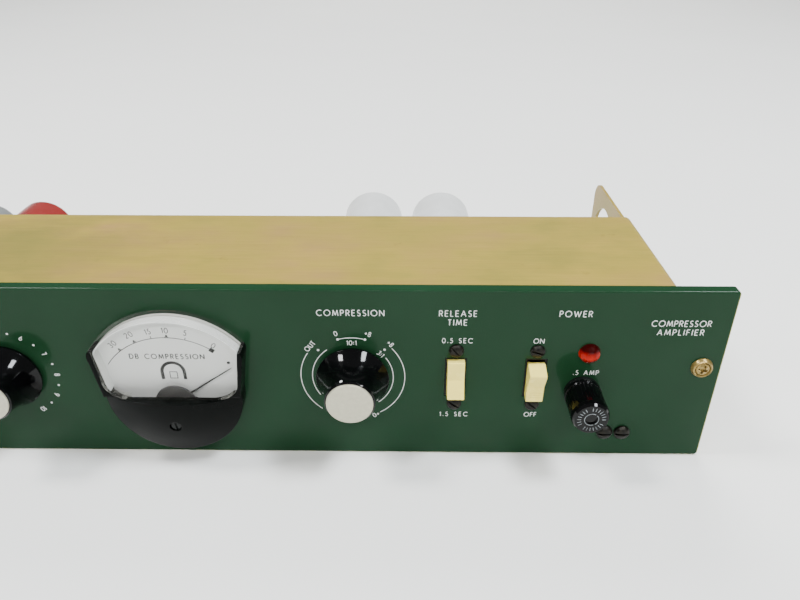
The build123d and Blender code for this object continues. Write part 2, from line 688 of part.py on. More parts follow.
def fuse_holder():
    body = rod(FUSE_X, FUSE_Z, -2, 0, 7.9) + rod(FUSE_X, FUSE_Z, 0, 38, 6.2)
    body -= rod(FUSE_X, FUSE_Z, -3, 35, 5.0)
    body += block(FUSE_X - 1.6, FUSE_X + 1.6, 38, 45, FUSE_Z - 0.4, FUSE_Z + 0.4)
    return body


def fuse_holder_nut():
    return nut(FUSE_X, FUSE_Z, PANEL_THICKNESS, PANEL_THICKNESS + 3, 9.5, 6.25)


def fuse():
    """Glass cartridge fuse: a tube between two metal end caps."""
    glass = rod(FUSE_X, FUSE_Z, 6, 26, 2.95)
    ends = [rod(FUSE_X, FUSE_Z, y, y + 6, 3.175) for y in (0, 26)]
    return group([glass] + ends)


def fuse_cap():
    """Bayonet cap: ribbed grip between two plain rings, and a sleeve that goes down inside the holder."""
    top = FUSE_CAP_TOP
    profile = [(0, -2.3), (8.2, -2.3), (8.2, -4.0), (8.0, -4.2), (8.0, -14.8), (8.2, -15.0), (8.2, -17.0),
               (7.8, -18.8), (7.1, -top), (0, -top)]
    cap = turned(profile, FUSE_X, FUSE_Z)
    for step in range(FUSE_CAP_RIBS):
        angle = 2 * pi * step / FUSE_CAP_RIBS
        cap -= rod(FUSE_X + 8.4 * cos(angle), FUSE_Z + 8.4 * sin(angle), -14.4, -4.6, 0.62)
    cap -= rod(FUSE_X, FUSE_Z, -top - 1, -top + 0.7, 2.5)
    sleeve = rod(FUSE_X, FUSE_Z, -2.3, 8, 4.9) - rod(FUSE_X, FUSE_Z, -0.2, 9, 3.24)
    return cap + sleeve


def bracket_screws():
    return group(slotted_screw(x, BRACKET_SCREW_Z, 0, 3.7, 2.3, 1.95, 11, 0) for x in BRACKET_SCREW_X)


def bracket_nuts():
    return group(nut(x, BRACKET_SCREW_Z, 6, 8.4, 3.5, 2.0) for x in BRACKET_SCREW_X)


def tag_bracket():
    """Angle behind the panel that carries the mains solder tags."""
    low = BRACKET_SCREW_Z - BRACKET_DROP
    high = BRACKET_SCREW_Z + 6
    angle = block(*TAG_BRACKET_X, PANEL_THICKNESS, 6, low, high)
    angle += block(*TAG_BRACKET_X, 6, 24, high - 1.2, high)
    for x in BRACKET_SCREW_X:
        angle -= rod(x, BRACKET_SCREW_Z, 3, 9, 2.0)
    return angle


def solder_tags():
    top = BRACKET_SCREW_Z + 6
    return group(block(x, x + 2, 12, 20, top, top + 7) for x in (193, 198.6, 204))


# ---- rear wall pieces ---------------------------------------------------------------------------
def capacitor_can(x):
    """Drawn can with a rolled rear edge, a bead near its base and three twist lugs."""
    start = CHASSIS_REAR + WAFER
    profile = [(0, start), (16.2, start), (CAN_RADIUS, start + 0.6), (CAN_RADIUS, start + 3.4),
               (15.7, start + 4.2), (CAN_RADIUS, start + 5), (CAN_RADIUS, CAN_END - 1.4),
               (15.6, CAN_END - 0.2), (14.9, CAN_END), (14.2, CAN_END - 0.8), (0, CAN_END - 0.8)]
    can = turned(profile, x, CAN_Z)
    for step in range(3):
        lug = block(9.2, 10.4, CHASSIS_REAR - 5, start, -2.2, 2.2)
        can += Pos(x, 0, CAN_Z) * Rot(0, step * 120, 0) * lug
    return can


def can_wafer(x):
    disc = rod(x, CAN_Z, CHASSIS_REAR, CHASSIS_REAR + WAFER, 18.6)
    for step in range(3):
        slot = block(9.1, 10.5, CHASSIS_REAR - 1, CHASSIS_REAR + 3, -2.3, 2.3)
        disc -= Pos(x, 0, CAN_Z) * Rot(0, step * 120, 0) * slot
    for pin_x, pin_z in can_pin_offsets():
        disc -= rod(x + pin_x, CAN_Z + pin_z, CHASSIS_REAR - 1, CHASSIS_REAR + 3, 1.0)
    return disc


def can_pin_offsets():
    return [(4.5 * cos(2 * pi * k / 3 + 0.5), 4.5 * sin(2 * pi * k / 3 + 0.5)) for k in range(3)]


def can_pins():
    pins = []
    for x in (CAN_A_X, CAN_B_X):
        for pin_x, pin_z in can_pin_offsets():
            pins.append(rod(x + pin_x, CAN_Z + pin_z, CHASSIS_REAR - 9, CHASSIS_REAR + WAFER, 1.0))
    return group(pins)


def octal_places():
    angles = [2 * pi * (k + 0.5) / 8 for k in range(8)]
    return [(PIN_CIRCLE * cos(angle), PIN_CIRCLE * sin(angle)) for angle in angles]


def octal_socket(x, z):
    socket = rod(x, z, 70, CHASSIS_REAR, SOCKET_RADIUS)
    socket += block(x - 4.5, x + 4.5, CHASSIS_REAR, CHASSIS_REAR + WAFER, z - 19.1, z + 19.1)
    socket += rod(x, z, CHASSIS_REAR, CHASSIS_REAR + WAFER, 15.0)
    for side in (-1, 1):
        socket -= rod(x, z + side * SOCKET_SCREW, 75, 90, 1.55)
    for pin_x, pin_z in octal_places():
        socket -= rod(x + pin_x, z + pin_z, 71, 90, 1.28)
    return socket - rod(x, z, 68, 90, 3.6)


def socket_screw_places():
    return [(x, z + side * SOCKET_SCREW) for x, z in ((RED_X, RED_Z), (GREY_X, GREY_Z)) for side in (-1, 1)]


def socket_screws():
    y = CHASSIS_REAR + WAFER
    return group(screw_from_rear(x, y, z, 2.4, 1.5, 1.5, 9, 20) for x, z in socket_screw_places())


def plug_base(x, z):
    """Black plug base: eight pins round a centre post."""
    start = CHASSIS_REAR + WAFER + 0.5
    base = rod(x, z, start, start + 4.5, 13.8)
    for pin_x, pin_z in octal_places():
        base += rod(x + pin_x, z + pin_z, start - 11, start, 1.19)
    return base + rod(x, z, start - 11, start, 3.5)


def plug_can(x, z):
    """Drawn can over the plug base, with a groove rolled in near its open end and a rounded rear edge."""
    start = CHASSIS_REAR + WAFER + 2.6
    groove = PLUG_RADIUS - 0.4
    profile = [(13.8, start), (groove, start), (PLUG_RADIUS, start + 0.5), (PLUG_RADIUS, start + 1.6),
               (groove, start + 2), (groove, start + 2.4), (PLUG_RADIUS, start + 2.8),
               (PLUG_RADIUS, PLUG_END - 2), (PLUG_RADIUS - 0.6, PLUG_END - 0.6),
               (PLUG_RADIUS - 2, PLUG_END), (0, PLUG_END), (0, start + 2.5), (13.8, start + 2.5)]
    return turned(profile, x, z)


def transformer_bolt_places():
    return [(POWER_TRANSFORMER_X + sx * 20, MIDDLE_Z + sz * 23) for sx in (-1, 1) for sz in (-1, 1)]


def power_transformer_core():
    x = POWER_TRANSFORMER_X
    core = block(x - 24, x + 24, CHASSIS_REAR, CORE_REAR, MIDDLE_Z - 27, MIDDLE_Z + 27)
    for side in (-1, 1):
        window = block(7.9, 16, CHASSIS_REAR - 1, 102, MIDDLE_Z - 18, MIDDLE_Z + 18)
        core -= Pos(x, 0, 0) * (window if side > 0 else mirror_left(window))
    for bolt_x, z in transformer_bolt_places():
        core -= rod(bolt_x, z, 80, 103, 2.05)
    return core


def power_transformer_coil():
    x = POWER_TRANSFORMER_X
    coil = block(x - 15.8, x + 15.8, 72, 112, MIDDLE_Z - 17.8, MIDDLE_Z + 17.8)
    coil -= block(x - 8, x + 8, CHASSIS_REAR, CORE_REAR, 0, 90)
    return fillet(coil.edges().filter_by(Axis.Z).group_by(Axis.Y)[-1], 4)


def transformer_cover(flange_y, dome_y):
    """Pressed end bell: a flange with a rounded hollow dome."""
    x = POWER_TRANSFORMER_X
    out = 1 if dome_y > flange_y else -1
    y0, y1 = sorted((flange_y, flange_y + out * 1.2))
    bell = block(x - 23.5, x + 23.5, y0, y1, MIDDLE_Z - 26.5, MIDDLE_Z + 26.5)
    y0, y1 = sorted((flange_y, dome_y))
    dome = block(x - 18, x + 18, y0, y1, MIDDLE_Z - 21, MIDDLE_Z + 21)
    far = dome.faces().sort_by(Axis.Y)[-1 if out > 0 else 0].edges()
    dome = fillet(list(dome.edges().filter_by(Axis.Y)) + list(far), 5)
    y0, y1 = sorted((flange_y - out, dome_y - out * 1.2))
    hollow = block(x - 16.8, x + 16.8, y0, y1, MIDDLE_Z - 19.8, MIDDLE_Z + 19.8)
    bell = bell + dome - hollow
    for bolt_x, z in transformer_bolt_places():
        bell -= rod(bolt_x, z, 50, 130, 2.05)
    return bell


def power_transformer_covers():
    outer = transformer_cover(CORE_REAR, POWER_TRANSFORMER_END)
    inner = transformer_cover(CHASSIS_REAR - SHEET, 66)
    return group([outer, inner])


def power_transformer_bolts():
    y = CORE_REAR + 1.2
    return group(screw_from_rear(x, y, z, 3.0, 1.8, 2.0, 27, 0) for x, z in transformer_bolt_places())


def power_transformer_nuts():
    y = CHASSIS_REAR - SHEET - 1.2
    return group(nut(x, z, y - 2.4, y, 3.4, 2.05) for x, z in transformer_bolt_places())


def cord_grommet():
    ring = rod(GROMMET_X, GROMMET_Z, CHASSIS_REAR - SHEET - 1.8, CHASSIS_REAR + 1.8, 7.6)
    groove = rod(GROMMET_X, GROMMET_Z, CHASSIS_REAR - SHEET, CHASSIS_REAR, 9) - rod(
        GROMMET_X, GROMMET_Z, CHASSIS_REAR - SHEET - 1, CHASSIS_REAR + 1, 5.95)
    return ring - groove - rod(GROMMET_X, GROMMET_Z, 70, 90, GROMMET_BORE)


def strip_posts():
    return [STRIP_X + (k - 3.5) * STRIP_PITCH for k in range(8)]


def strip_screw_places():
    return [STRIP_X + side * STRIP_SCREW for side in (-1, 1)]


def terminal_strip():
    half = STRIP_WIDTH / 2
    body = block(STRIP_X - half, STRIP_X + half, CHASSIS_REAR, CHASSIS_REAR + 5, STRIP_Z - 8, STRIP_Z + 8)
    for k in range(9):
        x = STRIP_X + (k - 4) * STRIP_PITCH
        body += block(x - 0.8, x + 0.8, CHASSIS_REAR + 4, CHASSIS_REAR + 12, STRIP_Z - 8, STRIP_Z + 8)
    for x in strip_posts():
        body -= rod(x, STRIP_Z, 80, 90, 1.75)
    for x in strip_screw_places():
        body -= rod(x, STRIP_Z, 80, 90, 1.55)
    return body


def terminal_screws():
    y = CHASSIS_REAR + 5.9
    return group(screw_from_rear(x, y, STRIP_Z, 3.2, 2.0, 1.7, 11, 12) for x in strip_posts())


def terminal_plates():
    plates = []
    for x in strip_posts():
        plate = block(x - 3.6, x + 3.6, CHASSIS_REAR + 5, CHASSIS_REAR + 5.9, STRIP_Z - 7, STRIP_Z + 7)
        plates.append(plate - rod(x, STRIP_Z, 80, 90, 1.75))
    return group(plates)


def strip_screws():
    y = CHASSIS_REAR + 5
    return group(screw_from_rear(x, y, STRIP_Z, 2.6, 1.6, 1.5, 11, 0) for x in strip_screw_places())


# ---- inside the chassis -------------------------------------------------------------------------
def standoff_places():
    return [(x, z) for x in (BOARD_X[0] + 5, BOARD_X[1] - 5) for z in (BOARD_Z[0] + 5, BOARD_Z[1] - 5)]


def circuit_board():
    board = block(*BOARD_X, BOARD_Y, BOARD_Y + 1.6, *BOARD_Z)
    for x, z in standoff_places():
        board -= rod(x, z, BOARD_Y - 1, BOARD_Y + 3, 1.55)
    return board


def board_standoffs():
    return group(rod(x, z, BOARD_Y + 1.6, CHASSIS_REAR - SHEET, 2.6) - rod(x, z, 55, 85, 1.5)
                 for x, z in standoff_places())


def board_screws():
    heads = [slotted_screw(x, z, BOARD_Y, 2.7, 1.6, 1.48, BOARD_Y + 8, 30) for x, z in standoff_places()]
    outside = [screw_from_rear(x, CHASSIS_REAR, z, 2.7, 1.6, 1.48, 8, 60) for x, z in standoff_places()]
    return group(heads + outside)


def board_resistors():
    places = [(x, z) for x in (-66, -50, -34, 10, 26) for z in (22, 30, 62, 70)]
    return group(cross_rod(BOARD_Y - 1.5, z, x - 4.5, x + 4.5, 1.5) for x, z in places)


def board_capacitors():
    places = [(-62, 46), (-46, 46), (-28, 46), (-10, 66), (-8, 24), (14, 46), (46, 34), (46, 54)]
    return group(rod(x, z, BOARD_Y - 11, BOARD_Y, 4.5) for x, z in places)


def board_transistors():
    places = [(-76, 46), (-12, 46), (0, 36), (0, 56), (30, 46), (34, 28)]
    cans = []
    for x, z in places:
        can = rod(x, z, BOARD_Y - 6.5, BOARD_Y, 4.0)
        can = fillet(can.faces().sort_by(Axis.Y)[0].edges(), 0.8)
        cans.append(can + rod(x, z, BOARD_Y - 0.8, BOARD_Y, 4.6))
    return group(cans)


def output_screw_places():
    return [(OUTPUT_X + side * 15, MIDDLE_Z + up * 25) for side in (-1, 1) for up in (-1, 1)]


def output_transformer_core():
    x = OUTPUT_X
    core = block(x - 19, x + 19, 56, 74, MIDDLE_Z - 19, MIDDLE_Z + 19)
    for side in (-1, 1):
        window = block(6.4, 12.8, 55, 75, MIDDLE_Z - 12.8, MIDDLE_Z + 12.8)
        core -= Pos(x, 0, 0) * (window if side > 0 else mirror_left(window))
    return core


def output_transformer_coil():
    x = OUTPUT_X
    coil = block(x - 12.7, x + 12.7, 49, 77.5, MIDDLE_Z - 12.7, MIDDLE_Z + 12.7)
    return coil - block(x - 6.4, x + 6.4, 56, 74, 0, 90)


def output_transformer_frame():
    """Channel over the core whose feet are screwed to the rear wall."""
    x = OUTPUT_X
    rear = CHASSIS_REAR - SHEET
    frame = block(x - 19, x + 19, rear - 1.2, rear, MIDDLE_Z - 30, MIDDLE_Z - 19)
    frame += block(x - 19, x + 19, rear - 1.2, rear, MIDDLE_Z + 19, MIDDLE_Z + 30)
    for up in (-1, 1):
        z0, z1 = sorted((MIDDLE_Z + up * 19, MIDDLE_Z + up * 20.2))
        frame += block(x - 19, x + 19, 56, rear, z0, z1)
    for screw_x, z in output_screw_places():
        frame -= rod(screw_x, z, 75, 85, 1.6)
    return frame


def output_screws():
    y = CHASSIS_REAR
    return group(screw_from_rear(x, y, z, 2.7, 1.6, 1.5, 8, 75) for x, z in output_screw_places())


def wiring_loom():
    """Laced trunk of wires under the top sheet, with drops to the controls."""
    loom = cross_rod(LOOM_Y, LOOM_Z, LOOM_DROPS[0][0], LOOM_DROPS[-1][0], LOOM_RADIUS)
    for x, bottom in LOOM_DROPS:
        loom += Pos(x, LOOM_Y, (LOOM_Z + bottom) / 2) * Cylinder(DROP_RADIUS, LOOM_Z - bottom)
        loom += Pos(x, LOOM_Y, bottom) * Sphere(DROP_RADIUS)
        loom += Pos(x, LOOM_Y, LOOM_Z) * Sphere(LOOM_RADIUS)
    return loom


def loom_clips():
    """Bands round the loom, each with a tab up to the top sheet."""
    clips = []
    top = CHASSIS_HEIGHT - SHEET
    for x in (-120, -40, 50, 100, 178):
        band = cross_rod(LOOM_Y, LOOM_Z, x - 3, x + 3, LOOM_RADIUS + 0.8)
        band += block(x - 3, x + 3, LOOM_Y, LOOM_Y + 10, top - 1, top)
        band += block(x - 3, x + 3, LOOM_Y, LOOM_Y + 2.8, LOOM_Z, top)
        clips.append(band - cross_rod(LOOM_Y, LOOM_Z, x - 4, x + 4, LOOM_RADIUS))
    return group(clips)


# ---- all nodes ----------------------------------------------------------------------------------
def solids_of(*groups):
    """Every solid of several groups, kept separate in one node."""
    return group(solid for member in groups for solid in member.solids())


def panel_nodes():
    right_plate = side_plate_right()
    return {
        "front_panel": front_panel(),
        "chassis_shell": chassis_shell(),
        "bottom_cover": bottom_cover(),
        "side_plate_right": right_plate,
        "side_plate_left": mirror_left(right_plate),
        "chassis_fasteners": solids_of(panel_nuts(), cover_screws(), cover_nuts(), chassis_screws(),
                                       chassis_nuts()),
        "rack_screws": group(rack_screw(side * RACK_HOLE_X) for side in (-1, 1)),
        "rack_screw_washers": group([cup_washer(side * RACK_HOLE_X) for side in (-1, 1)]
                                    + [screw_retainer(side * RACK_HOLE_X) for side in (-1, 1)]),
    }


def meter_nodes():
    return {
        "meter_case": meter_case(),
        "meter_window": meter_window(),
        "meter_lower_cover": meter_lower_cover(),
        "meter_dial": meter_dial(),
        "meter_pivot_cover": meter_pivot_cover(),
        "meter_magnet": meter_magnet(),
        "meter_core": group([meter_core(), meter_bridge()]),
        "meter_hairspring": meter_hairspring(),
        "meter_fixings": solids_of(meter_studs(), meter_nuts()),
        "meter_needle": meter_needle(),
        "meter_coil": group([meter_coil(), meter_spindle()]),
        "zero_adjust_screw": zero_adjust_screw(),
    }


def control_nodes():
    return {
        "compression_knob": knob(COMPRESSION_X, COMPRESSION_POINTER),
        "compression_knob_cap": knob_cap(COMPRESSION_X),
        "compression_shaft": group([control_shaft(COMPRESSION_X, 30), knob_screw(COMPRESSION_X)]),
        "compression_switch": compression_switch(),
        "input_knob": knob(INPUT_X, INPUT_POINTER),
        "input_knob_cap": knob_cap(INPUT_X),
        "input_shaft": group([control_shaft(INPUT_X, 16), knob_screw(INPUT_X)]),
        "input_pot": input_pot(),
        "control_nuts": group([control_nut(INPUT_X), control_nut(COMPRESSION_X), fuse_holder_nut()]),
        "release_rocker": rocker(RELEASE_X, ROCKER_TILT),
        "power_rocker": rocker(POWER_X, -ROCKER_TILT),
        "switch_bodies": group(switch_body(x) for x in (RELEASE_X, POWER_X)),
        "switch_metalwork": solids_of(switch_brackets(), rocker_pins(), switch_terminals()),
        "panel_screws": solids_of(switch_screws(), bracket_screws(), bracket_nuts()),
        "lamp_jewel": lamp_jewel(),
        "lamp_holder": lamp_holder(),
        "lamp_bulb": lamp_bulb(),
        "fuse_holder": fuse_holder(),
        "fuse": fuse(),
        "fuse_cap": fuse_cap(),
        "tag_bracket": solids_of(tag_bracket(), solder_tags()),
    }


def rear_nodes():
    return {
        "capacitor_can_a": capacitor_can(CAN_A_X),
        "capacitor_can_b": capacitor_can(CAN_B_X),
        "capacitor_wafers": solids_of(can_wafer(CAN_A_X), can_wafer(CAN_B_X), can_pins()),
        "octal_sockets": group([octal_socket(RED_X, RED_Z), octal_socket(GREY_X, GREY_Z)]),
        "red_transformer": plug_can(RED_X, RED_Z),
        "red_transformer_base": plug_base(RED_X, RED_Z),
        "grey_transformer": plug_can(GREY_X, GREY_Z),
        "grey_transformer_base": plug_base(GREY_X, GREY_Z),
        "power_transformer_core": power_transformer_core(),
        "power_transformer_coil": power_transformer_coil(),
        "power_transformer_covers": power_transformer_covers(),
        "cord_grommet": cord_grommet(),
        "terminal_strip": terminal_strip(),
        "terminal_screws": solids_of(terminal_screws(), terminal_plates()),
        "rear_fasteners": solids_of(socket_screws(), strip_screws(), power_transformer_bolts(),
                                    power_transformer_nuts(), board_screws(), board_standoffs(),
                                    output_screws()),
        "circuit_board": circuit_board(),
        "board_components": solids_of(board_resistors(), board_capacitors(), board_transistors()),
        "output_transformer": group([output_transformer_core(), output_transformer_coil(),
                                     output_transformer_frame()]),
        "wiring_loom": solids_of(wiring_loom(), loom_clips()),
    }


def export(name, shape):
    """Write one node, moved so that the whole object's depth is centred on y = 0."""
    shift = -(EAR_REAR - FUSE_CAP_TOP) / 2
    export_step(Pos(0, shift, 0) * shape, f"parts/{name}.step")


os.makedirs("parts", exist_ok=True)
for nodes in (panel_nodes(), meter_nodes(), control_nodes(), rear_nodes()):
    for node_name, node_shape in nodes.items():
        export(node_name, node_shape)
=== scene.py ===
import json
from math import cos, pi, radians, sin

import bmesh
import bpy
from mathutils import Matrix, Vector


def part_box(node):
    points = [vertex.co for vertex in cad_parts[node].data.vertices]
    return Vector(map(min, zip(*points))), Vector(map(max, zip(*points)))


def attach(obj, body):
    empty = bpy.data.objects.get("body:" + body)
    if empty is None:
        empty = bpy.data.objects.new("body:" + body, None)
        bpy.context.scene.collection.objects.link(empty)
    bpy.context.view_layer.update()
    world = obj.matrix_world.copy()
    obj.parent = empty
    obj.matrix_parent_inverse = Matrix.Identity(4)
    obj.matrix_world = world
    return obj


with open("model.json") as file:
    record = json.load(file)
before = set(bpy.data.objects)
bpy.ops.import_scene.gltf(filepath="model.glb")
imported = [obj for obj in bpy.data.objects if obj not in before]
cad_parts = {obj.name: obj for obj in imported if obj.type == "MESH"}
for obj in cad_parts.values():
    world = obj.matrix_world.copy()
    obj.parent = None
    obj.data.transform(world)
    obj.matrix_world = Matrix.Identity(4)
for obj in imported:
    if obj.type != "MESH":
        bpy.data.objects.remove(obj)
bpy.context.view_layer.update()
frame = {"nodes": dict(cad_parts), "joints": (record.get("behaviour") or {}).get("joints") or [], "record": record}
MM = 0.001
NODES = frame["nodes"]


# ---- places, all read from the frame ------------------------------------------------------------
def middle_of(node):
    low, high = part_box(node)
    return (low + high) / 2


PANEL_LOW, PANEL_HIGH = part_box("front_panel")
FACE_Y = PANEL_LOW.y
COMPRESSION = middle_of("compression_knob")
INPUT = middle_of("input_knob")
RELEASE = middle_of("release_rocker")
POWER = middle_of("power_rocker")
LAMP = middle_of("lamp_jewel")
FUSE = middle_of("fuse_cap")
JOINTS = {joint["name"]: joint for joint in frame["joints"]}
PIVOT = Vector(JOINTS["needle_swing"]["pos_m"])
DIAL_Y = FACE_Y - 2.5 * MM
POWER_PIVOT = Vector(JOINTS["power_rock"]["pos_m"])


# ---- colours and node materials -----------------------------------------------------------------
def linear(red, green, blue):
    """Screen colour, 0 to 255, as the linear colour that shaders use."""
    out = []
    for value in (red, green, blue):
        share = value / 255
        out.append(share / 12.92 if share <= 0.04045 else ((share + 0.055) / 1.055) ** 2.4)
    return (*out, 1.0)


class Finish:
    """A Principled material whose colour, roughness and bump come from procedural nodes."""

    def __init__(self, name, roughness=0.4, metallic=0.0):
        self.material = bpy.data.materials.new(name)
        self.material.use_nodes = True
        self.tree = self.material.node_tree
        self.shader = self.tree.nodes["Principled BSDF"]
        self.shader.inputs["Roughness"].default_value = roughness
        self.shader.inputs["Metallic"].default_value = metallic
        self.place = self.tree.nodes.new("ShaderNodeTexCoord").outputs["Object"]
        self.last_bump = None

    def set(self, **values):
        """Constant values, set on the shader's own sockets."""
        for name, value in values.items():
            self.shader.inputs[name.replace("_", " ")].default_value = value
        return self

    def stretched(self, scale):
        mapping = self.tree.nodes.new("ShaderNodeMapping")
        mapping.inputs["Scale"].default_value = scale
        self.tree.links.new(self.place, mapping.inputs["Vector"])
        return mapping.outputs["Vector"]

    def noise(self, scale, detail=4.0, rough=0.55, stretch=(1, 1, 1)):
        node = self.tree.nodes.new("ShaderNodeTexNoise")
        node.inputs["Scale"].default_value = scale
        node.inputs["Detail"].default_value = detail
        node.inputs["Roughness"].default_value = rough
        self.tree.links.new(self.stretched(stretch), node.inputs["Vector"])
        return node.outputs["Fac"]

    def ramp(self, factor, stops):
        node = self.tree.nodes.new("ShaderNodeValToRGB")
        while len(node.color_ramp.elements) < len(stops):
            node.color_ramp.elements.new(0.5)
        for element, (position, colour) in zip(node.color_ramp.elements, stops):
            element.position = position
            element.color = colour
        self.tree.links.new(factor, node.inputs["Fac"])
        return node.outputs["Color"]

    def mix(self, factor, first, second, mode="MIX"):
        node = self.tree.nodes.new("ShaderNodeMix")
        node.data_type = "RGBA"
        node.blend_type = mode
        for number, value in ((0, factor), (6, first), (7, second)):
            socket = node.inputs[number]
            if hasattr(value, "is_linked"):
                self.tree.links.new(value, socket)
            else:
                socket.default_value = value
        return node.outputs[2]

    def colour(self, socket):
        self.tree.links.new(socket, self.shader.inputs["Base Color"])
        return self

    def roughness(self, factor, low, high):
        node = self.tree.nodes.new("ShaderNodeMapRange")
        node.inputs["To Min"].default_value = low
        node.inputs["To Max"].default_value = high
        self.tree.links.new(factor, node.inputs["Value"])
        self.tree.links.new(node.outputs["Result"], self.shader.inputs["Roughness"])
        return self

    def bump(self, height, strength, distance):
        node = self.tree.nodes.new("ShaderNodeBump")
        node.inputs["Strength"].default_value = strength
        node.inputs["Distance"].default_value = distance
        self.tree.links.new(height, node.inputs["Height"])
        if self.last_bump:
            self.tree.links.new(self.last_bump, node.inputs["Normal"])
        self.last_bump = node.outputs["Normal"]
        self.tree.links.new(self.last_bump, self.shader.inputs["Normal"])
        return self

    def along(self, axis, low, high):
        """0 to 1 between two places on one axis of the object."""
        split = self.tree.nodes.new("ShaderNodeSeparateXYZ")
        self.tree.links.new(self.place, split.inputs["Vector"])
        node = self.tree.nodes.new("ShaderNodeMapRange")
        node.inputs["From Min"].default_value = low
        node.inputs["From Max"].default_value = high
        self.tree.links.new(split.outputs[axis], node.inputs["Value"])
        return node.outputs["Result"]

    def soft_edges(self, radius):
        """Round the shading over sharp edges, as a moulded or painted edge is."""
        node = self.tree.nodes.new("ShaderNodeBevel")
        node.samples = 4
        node.inputs["Radius"].default_value = radius
        self.last_bump = node.outputs["Normal"]
        self.tree.links.new(self.last_bump, self.shader.inputs["Normal"])
        return self

    def worn_edges(self, base, worn, low=0.52, high=0.60):
        """Paint rubbed through on sharp edges, by the surface's pointiness and a noise."""
        geometry = self.tree.nodes.new("ShaderNodeNewGeometry")
        mask = self.ramp(geometry.outputs["Pointiness"], [(low, (0, 0, 0, 1)), (high, (1, 1, 1, 1))])
        return self.mix(mask, base, worn)


def shade(colour, factor):
    return tuple(min(c * factor, 1.0) for c in colour[:3]) + (1.0,)


def simple_finish(name, colour, roughness, metallic=0.0, grain=900.0, spread=0.12, edge=0.0, **values):
    """One colour with a fine mottle, varied roughness and a light surface texture."""
    finish = Finish(name, roughness, metallic).set(**values)
    if edge:
        finish.soft_edges(edge)
    stops = [(0.3, shade(colour, 1 - spread)), (0.7, shade(colour, 1 + spread))]
    finish.colour(finish.ramp(finish.noise(grain / 9), stops))
    finish.roughness(finish.noise(grain / 3), max(roughness - 0.04, 0.02), roughness + 0.05)
    finish.bump(finish.noise(grain), 0.2, 0.02 * MM)
    return finish.material


def green_enamel():
    """Dark green enamel with a faint orange peel and a fine speckle, and a yellow line painted along its left,
    right and bottom outer edges.
    """
    finish = Finish("green_enamel", 0.24)
    finish.set(Specular_IOR_Level=0.04, Coat_Weight=0.15, Coat_Roughness=0.08)
    greens = [(0.3, (0.0062, 0.0300, 0.0115, 1)), (0.7, (0.0086, 0.0360, 0.0150, 1))]
    base = finish.ramp(finish.noise(16, 3), greens)
    greys = [(0.35, (0.84, 0.84, 0.84, 1)), (0.7, (1.10, 1.10, 1.10, 1))]
    speckle = finish.ramp(finish.noise(2600, 2), greys)
    mottled = finish.mix(1.0, base, speckle, "MULTIPLY")
    dust = finish.ramp(finish.noise(5200, 1), [(0.80, (0, 0, 0, 1)), (0.86, (0.25, 0.25, 0.25, 1))])
    painted = finish.mix(dust, mottled, (0.10, 0.12, 0.10, 1))
    # A yellow line painted along the left, right and bottom outer edges.
    edge_yellow_line = (0.34, 0.33, 0.06, 1)
    right = finish.mix(finish.along("X", PANEL_HIGH.x - 0.8 * MM, PANEL_HIGH.x - 0.3 * MM), painted, edge_yellow_line)
    left = finish.mix(finish.along("X", PANEL_LOW.x + 0.8 * MM, PANEL_LOW.x + 0.3 * MM), right, edge_yellow_line)
    bottom = finish.along("Z", PANEL_LOW.z + 0.5 * MM, PANEL_LOW.z + 0.1 * MM)
    finish.colour(finish.mix(bottom, left, edge_yellow_line))
    finish.roughness(finish.noise(200), 0.20, 0.29)
    finish.bump(finish.noise(420, 2), 0.10, 0.03 * MM)
    return finish.material


def gold_passivate():
    """Yellow chromate on rolled sheet: straw gold with pink and olive patches; the olive grows darker and stronger
    towards the left, partly its own tone and partly painted shade on that side.
    """
    finish = Finish("gold_passivate", 0.42, 0.2).set(Specular_IOR_Level=0.35)
    wide = finish.noise(15, 4, 0.6, (1, 1.7, 1.7))
    base = finish.ramp(wide, [(0.34, (0.280, 0.222, 0.036, 1)), (0.46, (0.340, 0.250, 0.040, 1)),
                              (0.56, (0.352, 0.240, 0.048, 1)), (0.66, (0.345, 0.218, 0.062, 1))])
    # Painted shade with real tone: the olive patches grow darker and stronger towards the left, where less light
    # falls.
    olive_drift_and_shade = finish.mix(finish.along("X", 0.02, -0.20), (0.14, 0.14, 0.14, 1), (0.95, 0.95, 0.95, 1))
    patchy = finish.noise(24, 4, 0.55, (1, 1.3, 1.3))
    patches = finish.ramp(patchy, [(0.32, (0, 0, 0, 1)), (0.56, (1, 1, 1, 1))])
    olive_patches_and_shade = finish.mix(1.0, olive_drift_and_shade, patches, "MULTIPLY")
    bloom_and_shade = finish.mix(olive_patches_and_shade, base, (0.135, 0.128, 0.034, 1))
    stops = [(0.3, (0.90, 0.90, 0.90, 1)), (0.7, (1.05, 1.05, 1.05, 1))]
    grain = finish.ramp(finish.noise(900, 3, 0.6, (0.05, 1, 1)), stops)
    marks = finish.ramp(finish.noise(110, 5, 0.7), [(0.64, (1, 1, 1, 1)), (0.76, (0.76, 0.74, 0.70, 1))])
    rolled = finish.mix(1.0, bloom_and_shade, grain, "MULTIPLY")
    finish.colour(finish.mix(1.0, rolled, marks, "MULTIPLY"))
    finish.roughness(finish.noise(60), 0.36, 0.50)
    finish.bump(finish.noise(1500, 3, 0.6, (0.05, 1, 1)), 0.12, 0.02 * MM)
    return finish.material


def gloss_black(name, roughness, level, tint, edge=0.45 * MM):
    """Polished thermoset moulding: near black, with faint flow marks and rounded edges."""
    finish = Finish(name, roughness).set(Specular_IOR_Level=level).soft_edges(edge)
    finish.colour(finish.ramp(finish.noise(140), [(0.3, shade(tint, 0.8)), (0.7, shade(tint, 1.3))]))
    finish.roughness(finish.noise(260), roughness - 0.02, roughness + 0.03)
    finish.bump(finish.noise(900), 0.06, 0.01 * MM)
    return finish.material


